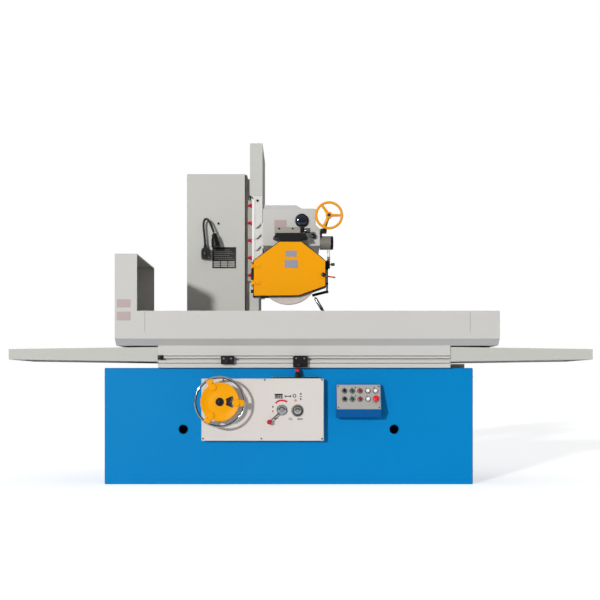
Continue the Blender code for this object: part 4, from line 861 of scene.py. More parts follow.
def make_bed_details():
    """Liner rings in the lifting holes, screws in the bed's ends and the rear access plate."""
    low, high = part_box("bed")
    for side, node_x in (("left", -0.687), ("right", 0.687)):
        ring = turned(f"lifting_liner_{side}", [(0.0335, -0.001), (0.0335, 0.0015), (0.0315, 0.003),
                                                (0.0300, 0.0015), (0.0300, -0.030), (0.0308, -0.030)],
                      (node_x, low.y, 0.358), TO_FRONT, ring=True)
        done(ring, "sprayed_enamel_blue", "root", "bed_blue")
    for end, x, out in (("left", low.x, -ALONG_X), ("right", high.x, ALONG_X)):
        for number, (y, z) in enumerate(((-0.28, 0.70), (0.36, 0.70), (-0.28, 0.08), (0.36, 0.08))):
            cap_screw(f"bed_end_screw_{end}_{number}", (x, y, z), out, 0.008, "black_oxide_steel",
                      "root", "black_enamel")
    # A plain rear cover plate with two rows of screws.
    back, proud = 1.350, 0.005
    plate = start_block("rear_access_plate", (-0.60, back + 0.0003, 0.20), (0.12, back + proud, 0.60))
    rounded(plate, 0.0015)
    done(plate, "sprayed_enamel_blue", "root", "bed_blue")
    for number in range(8):
        x = -0.57 + (number % 4) * 0.22
        z = 0.225 if number < 4 else 0.575
        cap_screw(f"rear_plate_screw_{number}", (x, back + proud, z), ALONG_Y, 0.007, "black_oxide_steel",
                  "root", "black_enamel")


# ---------------------------------------------------------------- table

def label(name, low, high, direction, material, body, rivets=True):
    """A blank label plate given by its two corners, with a rivet at each corner unless told not to."""
    plate = start_block(name, low, high)
    rounded(plate, 0.0003, 1)
    done(plate, material, body, "brushed_steel")
    if rivets:
        low, high, out = Vector(low), Vector(high), Vector(direction)
        for number, (x, z) in enumerate(((low.x, low.z), (high.x, low.z), (low.x, high.z), (high.x, high.z))):
            inset = 0.004
            x += inset if x == low.x else -inset
            z += inset if z == low.z else -inset
            y = low.y if out.y < 0 else high.y
            rivet = turned(f"{name}_rivet_{number}", [(0.0018, 0.0), (0.0016, 0.0006), (0.0008, 0.0009)],
                           (x, y, z), out, sides=16)
            done(rivet, "turned_steel", body, "ground_steel")


def make_table_details(sizes):
    """The tray's seams, lips, labels and hood edges, and the table's strips, end stop and screws.

    Also the trip dogs' cams, the chuck's end plates, and the folds and screws of the way covers.
    """
    low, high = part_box("tray")
    front = low.y
    # Grey strips of painted shade down the tray's seams.
    for number, x in enumerate((-0.926, 1.166)):
        seam = start_block(f"tray_seam_{number}", (x, front - 0.0006, 0.985),
                           (x + sizes.seam, front + 0.001, 1.119))
        done(rounded(seam, 0.0003, 1), "sprayed_enamel_shaded_grey", "table", "pale_grey")
    shelf, lip_width = high.z, 0.012
    for number, (y, out) in enumerate(((low.y, -1), (high.y, 1))):
        lip = start_block(f"tray_lip_{number}", (-0.9745, min(y, y - out * lip_width), shelf - 0.0005),
                          (high.x, max(y, y - out * lip_width), shelf + 0.0020))
        done(rounded(lip, 0.0008), "sprayed_enamel_pale_grey", "table", "pale_grey")
    for name, bottom, top in (("hood_label", 1.145, 1.197), ("tray_label", 1.062, 1.117)):
        label(name, (-1.104, front - 0.0009, bottom), (-1.016, front + 0.0002, top), TO_FRONT,
              "printed_foil_label", "table", rivets=False)
    hood_low, hood_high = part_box("splash_hood")
    edge_x, edge_in, edge_radius = hood_high.x - 0.0035, 0.0045, 0.0042
    for number, (y, out) in enumerate(((hood_low.y, 1), (hood_high.y, -1))):
        edge = bar(f"hood_edge_{number}", (edge_x, y + out * edge_in, hood_low.z + 0.004),
                   (edge_x, y + out * edge_in, hood_high.z - 0.004), edge_radius, sides=16)
        done(edge, "sprayed_enamel_pale_grey", "table", "pale_grey")
    top_edge = bar("hood_edge_top", (edge_x, hood_low.y + edge_in, hood_high.z - edge_in),
                   (edge_x, hood_high.y - edge_in, hood_high.z - edge_in), edge_radius, sides=16)
    done(top_edge, "sprayed_enamel_pale_grey", "table", "pale_grey")

    table_low, table_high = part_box("table")
    stop = start_block("slot_end_stop", (table_low.x - 0.0003, table_low.y - 0.009, 0.812),
                       (table_low.x + 0.037, table_low.y + 0.001, 0.840))
    done(rounded(stop, 0.002), "stove_enamel_black", "table", "black_enamel")
    # Thin raised strips of painted shade: black where the slot's outer grooves fall in shade, grey for the
    # shadow line under the tray.
    for number, (bottom, top) in enumerate(((0.8325, 0.8370), (0.7860, 0.7900), (0.9130, 0.9160))):
        line = start_block(f"table_shade_line_{number}", (table_low.x + 0.002, table_low.y - 0.0002, bottom),
                           (table_high.x - 0.002, table_low.y + 0.0008, top))
        done(line, "moulded_rubber_black" if number < 2 else "sprayed_enamel_shaded_grey",
             "table", "black_plastic" if number < 2 else "pale_grey")
    for name in ("trip_dog_left", "trip_dog_right"):
        dog_low, dog_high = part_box(name)
        for number, share in enumerate((0.22, 0.78)):
            x = dog_low.x + (dog_high.x - dog_low.x) * share
            cap_screw(f"{name}_screw_{number}", (x, dog_low.y, 0.818), TO_FRONT, 0.006,
                      "turned_steel", name, "ground_steel")
        cam = start_block(f"{name}_cam", (dog_low.x + 0.030, dog_low.y - 0.004, dog_low.z + 0.004),
                          (dog_high.x - 0.030, dog_low.y + 0.001, dog_low.z + 0.022))
        done(rounded(cam, 0.0025), "stove_enamel_black", name, "black_enamel")

    chuck_low, chuck_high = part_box("magnetic_chuck")
    for number, (x, out) in enumerate(((chuck_low.x, -ALONG_X), (chuck_high.x, ALONG_X))):
        band = start_block(f"chuck_end_plate_{number}",
                           (min(x, x + out.x * 0.010), chuck_low.y + 0.004, chuck_low.z),
                           (max(x, x + out.x * 0.010), chuck_high.y - 0.004, chuck_low.z + 0.045))
        done(rounded(band, 0.002), "turned_steel", "table", "ground_steel")
        for step in range(4):
            y = chuck_low.y + 0.08 + step * 0.157
            cap_screw(f"chuck_screw_{number}_{step}", (x + out.x * 0.010, y, chuck_low.z + 0.022), out, 0.008,
                      "black_oxide_steel", "table", "black_enamel")
    for wing, root_x, out in (("wing_left", table_low.x, -1), ("wing_right", table_high.x, 1)):
        wing_low, wing_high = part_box(wing)
        for number in range(4):
            y = wing_low.y + 0.07 + number * (wing_high.y - wing_low.y - 0.14) / 3
            cap_screw(f"{wing}_screw_{number}", (root_x + out * 0.030, y, 0.8936), ALONG_Z, 0.006,
                      "black_oxide_steel", "table", "black_enamel")
        for number in range(3):
            x = root_x + out * (0.25 + number * 0.25)
            drop = (0.25 + number * 0.25) * 0.014 / (wing_high.x - wing_low.x)
            fold = start_block(f"{wing}_fold_{number}", (x, wing_low.y + 0.02, 0.8940 - drop - 0.0006),
                               (x + 0.012, wing_high.y - 0.02, 0.8950 - drop))
            done(rounded(fold, 0.0006, 1), "powder_coat_cover_grey", "table", "column_grey")


# ---------------------------------------------------------------- column and lamp

def fused(obj, other):
    """Join two overlapping shapes into one skin."""
    take(obj)
    union = obj.modifiers.new("union", 'BOOLEAN')
    union.object, union.operation, union.solver = other, 'UNION', 'EXACT'
    bpy.ops.object.modifier_apply(modifier=union.name)
    bpy.data.objects.remove(other, do_unlink=True)
    return obj


def smooth_route(points, steps=8):
    """Points on a smooth curve through a pipe's own points."""
    knots = [Vector(p) for p in points]
    knots = [2 * knots[0] - knots[1], *knots, 2 * knots[-1] - knots[-2]]
    route = []
    for a, b, c, d in zip(knots, knots[1:], knots[2:], knots[3:]):
        for step in range(steps):
            t = step / steps
            route.append(0.5 * ((2 * b) + (c - a) * t + (2 * a - 5 * b + 4 * c - d) * t * t
                                + (3 * b - a - 3 * c + d) * t * t * t))
    return route + [knots[-2]]


def tube(name, points, radius):
    """A round pipe along a smooth route, closed at both ends."""
    let_go()
    bpy.ops.curve.primitive_nurbs_path_add(location=(0, 0, 0))
    curve = bpy.context.object
    route = smooth_route(points)
    spline = curve.data.splines[0]
    spline.type = 'POLY'
    spline.points.add(len(route) - len(spline.points))
    for point, place in zip(spline.points, route):
        point.co = (*place, 1.0)
    curve.data.bevel_depth, curve.data.bevel_resolution = radius, 6
    curve.data.use_fill_caps = True
    bpy.ops.object.convert(target='MESH')
    pipe = bpy.context.object
    pipe.name = pipe.data.name = name
    bpy.ops.object.mode_set(mode='EDIT')
    bpy.ops.mesh.select_all(action='SELECT')
    bpy.ops.mesh.remove_doubles(threshold=0.00001)
    bpy.ops.mesh.normals_make_consistent(inside=False)
    bpy.ops.object.mode_set(mode='OBJECT')
    return pipe


def make_column_details():
    """Specification plate without text, a dark strip of painted shade in the gap beside the way, bolts and
    the rear louvred cover.
    """
    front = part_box("column_front_cover")[0].y
    frame_piece = start_block("data_plate_frame", (-0.559, front - 0.0022, 1.493),
                              (-0.387, front + 0.0004, 1.646))
    inset_face(frame_piece, TO_FRONT, 0.004, -0.001)
    done(rounded(frame_piece, 0.0005, 1), "stove_enamel_black", "root", "black_enamel")
    fields = []
    for row in range(3):
        for column in range(3):
            x, z = -0.549 + column * 0.053, 1.503 + row * 0.015
            fields.append(start_block("field", (x, front - 0.0034, z),
                                      (x + 0.046, front - 0.0020, z + 0.010)))
    done(joined("data_plate_fields", *fields), "screen_ink_pale", "root", "brushed_steel")
    lines = []
    for row in range(6):
        z = 1.557 + row * 0.0135
        lines.append(start_block("line", (-0.548, front - 0.0034, z),
                                 (-0.402 - 0.016 * (row % 3), front - 0.0014, z + 0.0030)))
    done(joined("data_plate_lines", *lines), "screen_ink_grey", "root", "brushed_steel")
    # A black strip where the gap between the column's cover and the way falls in shade: painted shade.
    strip = start_block("column_gap_shade_strip", (-0.3216, 0.4560, 0.7605), (-0.3130, 0.4645, 2.1700))
    done(rounded(strip, 0.001), "moulded_rubber_black", "root", "black_plastic")
    for number, (x, z) in enumerate(((-0.514, 1.817), (-0.470, 1.140))):
        cap_screw(f"column_bolt_{number}", (x, front, z), TO_FRONT, 0.0085, "black_oxide_steel", "root",
                  "black_enamel")

    column_low, column_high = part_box("column")
    back = column_high.y
    door = start_block("column_rear_cover", (column_low.x + 0.050, back - 0.001, 0.92),
                       (column_high.x - 0.050, back + 0.005, 2.06))
    done(rounded(door, 0.0015), "sprayed_enamel_column_grey", "root", "column_grey")
    louvre = start_block("louvre_0", (column_low.x + 0.11, back + 0.004, 1.160),
                         (column_high.x - 0.11, back + 0.020, 1.178))
    trimmed(louvre, ((0, back + 0.020, 1.160), (0, 0.75, 0.66)))
    rounded(louvre, 0.0015)
    for number in range(1, 9):
        done(copied(louvre, f"louvre_{number}", (0, 0, number * 0.036)), "sprayed_enamel_column_grey", "root",
             "column_grey")
    done(louvre, "sprayed_enamel_column_grey", "root", "column_grey")
    for number in range(10):
        x = column_low.x + 0.065 if number < 5 else column_high.x - 0.065
        cap_screw(f"column_rear_screw_{number}", (x, back + 0.005, 0.94 + (number % 5) * 0.275), ALONG_Y,
                  0.007, "black_oxide_steel", "root", "black_enamel")


def make_lamp():
    """The work lamp: domed switch box, gooseneck and conical shade."""
    base_low, base_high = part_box("lamp_base")
    left, right, front, back = base_low.x, base_low.x + 0.063, 0.395, base_high.y
    centre_x, dome_z = (left + right) / 2, 1.6085
    box = start_block("lamp_box", (left, front, base_low.z), (right, back, dome_z))
    dome = turned("dome", [((right - left) / 2, 0.0), ((right - left) / 2, back - front)],
                  (centre_x, back, dome_z), TO_FRONT, sides=64)
    fused(box, dome)
    rounded(box, 0.003, 3)
    done(box, "stove_enamel_black", "root", "black_enamel", "lamp_base")
    neck = tube("lamp_gooseneck", ((-0.606, 0.415, 1.630), (-0.613, 0.415, 1.720), (-0.620, 0.415, 1.800),
                                   (-0.613, 0.413, 1.836), (-0.597, 0.410, 1.844), (-0.580, 0.405, 1.829),
                                   (-0.564, 0.400, 1.798), (-0.5435, 0.395, 1.7455)), 0.0078)
    done(neck, "moulded_rubber_black", "root", "black_plastic", smooth=60)
    collar = bar("lamp_collar", (-0.6065, 0.415, 1.634), (-0.6085, 0.415, 1.662), 0.0125, 0.0105, edge=0.001)
    done(collar, "black_oxide_steel", "root", "black_enamel")
    rocker = start_block("lamp_switch", (centre_x - 0.009, front - 0.004, 1.578),
                         (centre_x + 0.009, front + 0.002, 1.604))
    done(rounded(rocker, 0.002), "moulded_abs_black", "root", "black_plastic")
    for number, (x, z) in enumerate(((left + 0.008, 1.567), (right - 0.008, 1.567))):
        cap_screw(f"lamp_box_screw_{number}", (x, front, z), TO_FRONT, 0.003, "turned_steel", "root",
                  "ground_steel")

    top, mouth = Vector((-0.5426, 0.395, 1.742)), Vector((-0.528, 0.395, 1.640))
    length = (mouth - top).length
    shade = turned("lamp_shade_shell", [(0.0312, length), (0.0318, length - 0.002), (0.0312, length - 0.014),
                                        (0.0250, 0.044), (0.0215, 0.033), (0.0185, 0.028), (0.0170, 0.012),
                                        (0.0110, 0.005), (0.0062, 0.0012), (0.0050, 0.0012), (0.0050, 0.008),
                                        (0.0140, 0.030),
                                        (0.0290, length - 0.014), (0.0296, length)], top, mouth - top,
                   sides=64, ring=True)
    done(shade, "stove_enamel_black", "lamp_shade", "black_enamel", "lamp_shade")
    lens = turned("lamp_lens", [(0.0286, length - 0.010), (0.0280, length - 0.004), (0.018, length - 0.0015)],
                  top, mouth - top)
    done(lens, "moulded_abs_white", "lamp_shade", "white_plastic")
    for number in range(3):
        height = 0.0125 + number * 0.0055
        fin = turned(f"lamp_cooling_ring_{number}", [(0.0168, height), (0.0202, height + 0.001),
                                                     (0.0202, height + 0.003), (0.0168, height + 0.004)],
                     top, mouth - top)
        done(fin, "stove_enamel_black", "lamp_shade", "black_enamel")


# ---------------------------------------------------------------- carriage

def make_carriage_details():
    """Red lubrication caps, the pale edge strip, bolts, the hose with its clip, and cover screws."""
    low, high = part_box("lube_manifold")
    for number in range(5):
        z = 1.444 + number * 0.1265
        cap = turned(f"lube_cap_{number}", [(0.0148, -0.0002), (0.0148, 0.0085), (0.0125, 0.0115),
                                            (0.0066, high.x - low.x - 0.002), (0.0050, high.x - low.x)],
                     (high.x, 0.463, z), -ALONG_X, sides=40)
        done(cap, "moulded_phenolic_red", "carriage", "red_plastic")
    # The strip's near-white paint is a painted highlight along the carriage's edge.
    edge = start_block("carriage_edge_strip", (-0.2702, 0.4452, 1.331), (-0.2512, 0.4472, 2.000))
    done(rounded(edge, 0.0006), "sprayed_enamel_white_painted_highlight", "carriage", "pale_grey")
    front = 0.450
    for number, (x, z) in enumerate(((-0.231, 1.984), (-0.231, 1.350), (-0.214, 1.560))):
        cap_screw(f"carriage_bolt_{number}", (x, front, z), TO_FRONT, 0.0085, "black_oxide_steel", "carriage",
                  "black_enamel")
    clip = start_block("hose_clip", (-0.290, 0.452, 2.006), (-0.276, 0.470, 2.020))
    done(rounded(clip, 0.002), "stove_enamel_black", "carriage", "black_enamel")
    hose = tube("lube_hose", ((-0.283, 0.476, 1.992), (-0.283, 0.468, 2.004), (-0.277, 0.458, 2.009),
                              (-0.268, 0.4445, 2.004), (-0.262, 0.4400, 1.996)), 0.0035)
    done(hose, "moulded_rubber_black", "carriage", "black_plastic", smooth=60)
    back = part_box("way_cover_upper")[1].y
    for number, (x, z) in enumerate(((-0.270, 2.06), (-0.211, 2.06), (-0.270, 2.36), (-0.211, 2.36))):
        cap_screw(f"way_cover_screw_{number}", (x, back, z), ALONG_Y, 0.006, "black_oxide_steel", "carriage",
                  "black_enamel")


# ---------------------------------------------------------------- wheelhead

def make_wheelhead_details():
    """The blank label, sight glass, rear cover screws and the finned spindle motor."""
    label("head_label", (-0.100, -0.0009, 1.725), (-0.016, 0.0002, 1.773), TO_FRONT, "printed_foil_label",
          "wheelhead", rivets=False)
    glass_middle = middle_of("sight_glass")
    seat = Vector((glass_middle.x, 0.0, glass_middle.z))
    ring = turned("sight_glass_ring", [(0.0462, 0.0005), (0.0462, 0.012), (0.0445, 0.0150), (0.040, 0.0160),
                                       (0.038, 0.0140), (0.038, 0.0005)], seat, TO_FRONT, sides=64, ring=True)
    done(ring, "stove_enamel_black", "wheelhead", "black_enamel", "sight_glass")
    dome = [(0.0385, 0.001), (0.0385, 0.0150)]
    dome += [(0.0385 * math.cos(math.radians(a)), 0.0150 + 0.0088 * math.sin(math.radians(a)))
             for a in range(10, 90, 10)]
    done(turned("sight_glass_dome", dome, seat, TO_FRONT, sides=64), "cast_acrylic_dark", "wheelhead",
         "black_plastic", smooth=60)

    cover_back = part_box("head_rear_cover")[1].y
    for number, (x, z) in enumerate((
            (-0.125, 1.625), (0.020, 1.625), (0.185, 1.625), (-0.125, 1.78), (0.155, 1.72),
            (0.155, 1.835), (-0.125, 1.915), (0.035, 1.915))):
        cap_screw(f"rear_cover_screw_{number}", (x, cover_back, z), ALONG_Y, 0.006, "black_oxide_steel",
                  "wheelhead", "black_enamel")

    motor_low, motor_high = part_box("spindle_motor")
    axis_x, axis_z = (motor_low.x + motor_high.x) / 2, (motor_low.z + motor_high.z) / 2
    start = Vector((axis_x, motor_low.y, axis_z))
    length = motor_high.y - motor_low.y
    steps = [(0.105, 0.0), (0.105, 0.018), (0.094, 0.022), (0.094, length - 0.110), (0.104, length - 0.106),
             (0.104, length - 0.020), (0.098, length - 0.004), (0.090, length)]
    barrel = turned("spindle_motor_frame", steps, start, ALONG_Y, sides=64)
    bored(barrel, turned("coupling_space", [(0.060, -0.01), (0.060, 0.0447)], start, ALONG_Y))
    done(barrel, "hammered_enamel_grey", "wheelhead", "motor_grey", "spindle_motor")
    fins = []
    for number in range(30):
        turn = math.radians(number * 12)
        fin = start_block("fin", (0.090, 0.024, -0.0016), (0.1035, length - 0.110, 0.0016))
        fin.matrix_world = Matrix.Translation(start) @ Matrix.Rotation(turn, 4, 'Y')
        fins.append(settle(fin))
    done(joined("spindle_motor_fins", *fins), "hammered_enamel_grey", "wheelhead", "motor_grey")
    grille = []
    for number in range(5):
        radius = 0.030 + number * 0.013
        grille.append(turned("grille", [(radius, length - 0.001), (radius, length + 0.0025),
                                        (radius - 0.004, length + 0.0025), (radius - 0.004, length - 0.001)],
                             start, ALONG_Y, sides=48, ring=True))
    done(joined("spindle_motor_grille", *grille), "stove_enamel_black", "wheelhead", "black_enamel")
    chest = start_block("motor_terminal_box", (axis_x - 0.045, motor_low.y + 0.110, axis_z + 0.095),
                        (axis_x + 0.045, motor_low.y + 0.200, axis_z + 0.145))
    done(rounded(chest, 0.004), "hammered_enamel_grey", "wheelhead", "motor_grey")


def make_guard_details():
    """Blank door labels, hinge rivets, the latch knob and the casing's side bolt."""
    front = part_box("guard_door")[0].y
    face = -0.130
    for name, low, high in (("door_label_upper", (-0.022, 1.506), (0.052, 1.546)),
                            ("door_label_lower", (-0.028, 1.431), (0.061, 1.483))):
        label(name, (low[0], face - 0.0009, low[1]), (high[0], face + 0.0002, high[1]), TO_FRONT,
              "anodised_label", "guard_door")
    for number, (x, z) in enumerate(((-0.226, 1.332), (-0.205, 1.332), (-0.226, 1.444), (-0.205, 1.444))):
        rivet = turned(f"hinge_rivet_{number}", [(0.0042, 0.0), (0.0038, 0.0016), (0.0022, 0.0026)],
                       (x, front, z), TO_FRONT, sides=20)
        done(rivet, "sprayed_enamel_yellow", "guard_door", "guard_yellow")
    low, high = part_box("latch_knob")
    seat = Vector(((low.x + high.x) / 2, face, (low.z + high.z) / 2))
    knob = turned("latch_knob_grip", [(0.010, 0.0006), (0.0138, 0.004), (0.0142, 0.006), (0.0142, 0.0165),
                                      (0.0125, 0.0200), (0.0085, 0.0218), (0.004, 0.0222)], seat, TO_FRONT)
    done(knob, "moulded_abs_black", "latch_knob", "black_plastic", "latch_knob")
    stem = bar("latch_stem", seat + Vector((0, 0.0117, 0)), seat - Vector((0, 0.002, 0)), 0.0048)
    done(stem, "turned_steel", "latch_knob", "ground_steel")
    bolt = turned("casing_side_bolt", [(0.0118, 0.0), (0.0120, 0.003), (0.0120, 0.012), (0.0105, 0.016),
                                       (0.006, 0.018)], (-0.2405, -0.060, 1.280), -ALONG_X)
    done(bolt, "stove_enamel_black", "wheelhead", "black_enamel")


def make_spindle_pieces():
    """The grinding wheel, and the clamping flange with its six screws."""
    low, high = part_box("grinding_wheel")
    axis = Vector(((low.x + high.x) / 2, high.y, (low.z + high.z) / 2))
    width, radius, bore = high.y - low.y, (high.x - low.x) / 2, 0.0635
    wheel = turned("abrasive_wheel", [(radius - 0.0015, 0.0), (radius, 0.0015), (radius, width - 0.0015),
                                      (radius - 0.0015, width), (bore, width), (bore, 0.0)], axis, TO_FRONT,
                   sides=128, ring=True)
    done(wheel, "vitrified_alumina", "spindle", "abrasive", "grinding_wheel")
    seat = Vector((axis.x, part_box("wheel_flange")[1].y, axis.z))
    flange = turned("clamping_flange", [(0.0935, 0.0), (0.095, 0.0015), (0.095, 0.0085), (0.0935, 0.010),
                                        (0.042, 0.012), (0.040, 0.014), (0.040, 0.019), (0.039, 0.020),
                                        (0.0254, 0.020), (0.0254, 0.0)], seat, TO_FRONT, sides=96, ring=True)
    done(flange, "turned_steel", "spindle", "ground_steel", "wheel_flange")
    for number in range(6):
        turn = math.radians(30 + number * 60)
        place = seat + Vector((0.068 * math.cos(turn), -0.0110, 0.068 * math.sin(turn)))
        cap_screw(f"flange_screw_{number}", place, TO_FRONT, 0.007, "black_oxide_steel", "spindle",
                  "black_enamel")


def make_dresser():
    """The dresser's black clamp and screws, and the feed shaft with its knurled knob."""
    low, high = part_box("dresser_slide")
    clamp = start_block("dresser_clamp", (0.0697, -0.0906, low.z + 0.078), (0.1063, -0.0394, high.z + 0.0005))
    rounded(clamp, 0.003)
    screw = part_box("dresser_knob")
    y, z = (screw[0].y + screw[1].y) / 2, (screw[0].z + screw[1].z) / 2
    bored(clamp, bar("screw_bore", (0.060, y, z), (0.115, y, z), 0.0066, sides=32))
    done(clamp, "stove_enamel_black", "dresser_slide", "black_enamel")
    for number, x in enumerate((-0.065, 0.025)):
        cap_screw(f"dresser_screw_{number}", (x, -0.105, 1.6976), TO_FRONT, 0.0062, "black_oxide_steel",
                  "dresser_slide", "black_enamel")
    knob_low, knob_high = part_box("dresser_knob")
    seat = Vector((knob_low.x, (knob_low.y + knob_high.y) / 2, (knob_low.z + knob_high.z) / 2))
    length = knob_high.x - knob_low.x
    shaft = turned("dresser_feed_shaft", [(0.0055, 0.0), (0.006, 0.001), (0.006, 0.037), (0.0135, 0.0365),
                                          (0.0152, 0.039), (0.0152, length - 0.005), (0.0125, length - 0.001),
                                          (0.008, length)], seat, ALONG_X)
    done(shaft, "turned_steel", "dresser_knob", "ground_steel", "dresser_knob")
    knurls = []
    for number in range(24):
        turn = math.radians(number * 15)
        y, z = seat.y + 0.0150 * math.cos(turn), seat.z + 0.0150 * math.sin(turn)
        knurls.append(bar("knurl", (seat.x + 0.041, y, z), (seat.x + length - 0.006, y, z), 0.0010, sides=6))
    done(joined("dresser_knob_knurling", *knurls), "black_oxide_steel", "dresser_knob", "black_enamel")


def make_crossfeed():
    """The cross-feed handwheel, its bracket and bearing, the motor below it, and the head knob."""
    low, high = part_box("crossfeed_handwheel")
    radius, section = (high.x - low.x) / 2 - 0.0085, 0.0085
    centre = Vector(((low.x + high.x) / 2, low.y + 0.014, (low.z + high.z) / 2))
    body = "crossfeed_handwheel"
    let_go()
    bpy.ops.mesh.primitive_torus_add(major_segments=96, minor_segments=18, major_radius=radius,
                                     minor_radius=section, location=centre, rotation=(math.radians(90), 0, 0))
    done(settle(bpy.context.object, "crossfeed_rim"), "sprayed_enamel_yellow", body, "guard_yellow",
         "crossfeed_handwheel")
    for number, angle in enumerate((0, 125, 245)):
        turn = math.radians(angle)
        out = Vector((math.cos(turn), 0, math.sin(turn)))
        spoke = bar(f"crossfeed_spoke_{number}", centre + out * 0.010, centre + out * (radius - 0.002),
                    0.0108, 0.0080, sides=20)
        done(spoke, "sprayed_enamel_yellow", body, "guard_yellow")
    hub = turned("crossfeed_hub", [(0.0165, -0.0193), (0.018, -0.017), (0.0225, -0.004), (0.0225, 0.010),
                                   (0.0195, 0.0138),
                                   (0.0100, 0.0138), (0.0095, 0.0125)], centre, TO_FRONT)
    done(hub, "sprayed_enamel_yellow", body, "guard_yellow")
    nut = turned("crossfeed_nut", [(0.0085, 0.011), (0.0085, 0.0136), (0.007, 0.0140)], centre, TO_FRONT,
                 sides=6)
    done(nut, "black_oxide_steel", body, "black_enamel")
    washer = turned("crossfeed_washer", [(0.0125, 0.0130), (0.0125, 0.0139), (0.0088, 0.0139),
                                         (0.0088, 0.0130)], centre, TO_FRONT, ring=True)
    done(washer, "polished_chrome", body, "chrome")
    shaft = bar("crossfeed_shaft", centre + Vector((0, 0.010, 0)), (centre.x, high.y, centre.z), 0.0079)
    done(shaft, "turned_steel", body, "ground_steel")

    motor_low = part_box("crossfeed_motor")[0]
    axis = Vector((motor_low.x, 0.052, 1.622))
    barrel = turned("crossfeed_motor_barrel", [(0.047, 0.0), (0.047, 0.010), (0.0445, 0.012), (0.0445, 0.066),
                                               (0.047, 0.068), (0.047, 0.0725)], axis, ALONG_X, sides=64)
    done(barrel, "hammered_enamel_grey", "wheelhead", "motor_grey", "crossfeed_motor")
    fins = []
    for number in range(20):
        turn = math.radians(number * 18)
        fin = start_block("fin", (0.0110, 0.0430, -0.0010), (0.0670, 0.0468, 0.0010))
        fin.matrix_world = Matrix.Translation(axis) @ Matrix.Rotation(turn, 4, 'X')
        fins.append(settle(fin))
    done(joined("crossfeed_motor_fins", *fins), "hammered_enamel_grey", "wheelhead", "motor_grey")
    cap = turned("crossfeed_motor_cap", [(0.0445, 0.0715), (0.0468, 0.0735), (0.0468, 0.0860),
                                         (0.0440, 0.0905), (0.030, 0.0917), (0.028, 0.0905)],
                 axis, ALONG_X, sides=64)
    done(cap, "stove_enamel_black", "wheelhead", "black_enamel")
    bracket = start_block("crossfeed_bracket", (motor_low.x, -0.075, 1.683), (0.256, 0.040, 1.703))
    web = start_block("web", (motor_low.x, 0.020, 1.650), (0.226, 0.038, 1.690))
    done(rounded(fused(bracket, web), 0.002), "stove_enamel_black", "wheelhead", "black_enamel")
    arm = bar("crossfeed_arm", (0.236, -0.066, 1.690), (0.2655, -0.066, 1.775), 0.009, edge=0.001)
    done(arm, "stove_enamel_black", "wheelhead", "black_enamel")
    boss = turned("crossfeed_arm_boss", [(0.012, 0.0), (0.012, 0.026), (0.010, 0.029), (0.006, 0.029),
                                         (0.0055, 0.0275)], (0.241, -0.055, 1.724), TO_FRONT)
    done(boss, "stove_enamel_black", "wheelhead", "black_enamel")
    stud = turned("crossfeed_arm_stud", [(0.0045, 0.027), (0.0045, 0.0296), (0.0035, 0.0303)],
                  (0.241, -0.055, 1.724), TO_FRONT)
    done(stud, "moulded_abs_white", "wheelhead", "white_plastic")
    bearing = turned("crossfeed_bearing", [(0.0170, 0.0), (0.018, 0.001), (0.018, 0.029), (0.017, 0.030),
                                           (0.0084, 0.030), (0.0084, 0.0)], (0.270, -0.050, 1.788), TO_FRONT,
                     ring=True)
    done(bearing, "stove_enamel_black", "wheelhead", "black_enamel")

    low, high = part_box("head_knob")
    seat = Vector(((low.x + high.x) / 2, 0.0, (low.z + high.z) / 2))
    knob = turned("head_knob_grip", [(0.0150, 0.0006), (0.018, 0.003), (0.018, 0.0205), (0.0160, 0.0240),
                                     (0.0115, 0.0258), (0.005, 0.0262)], seat, TO_FRONT)
    done(knob, "moulded_abs_black", "head_knob", "black_plastic", "head_knob")
    stem = bar("head_knob_stem", seat + Vector((0, 0.0177, 0)), seat - Vector((0, 0.002, 0)), 0.0058)
    done(stem, "turned_steel", "head_knob", "ground_steel")


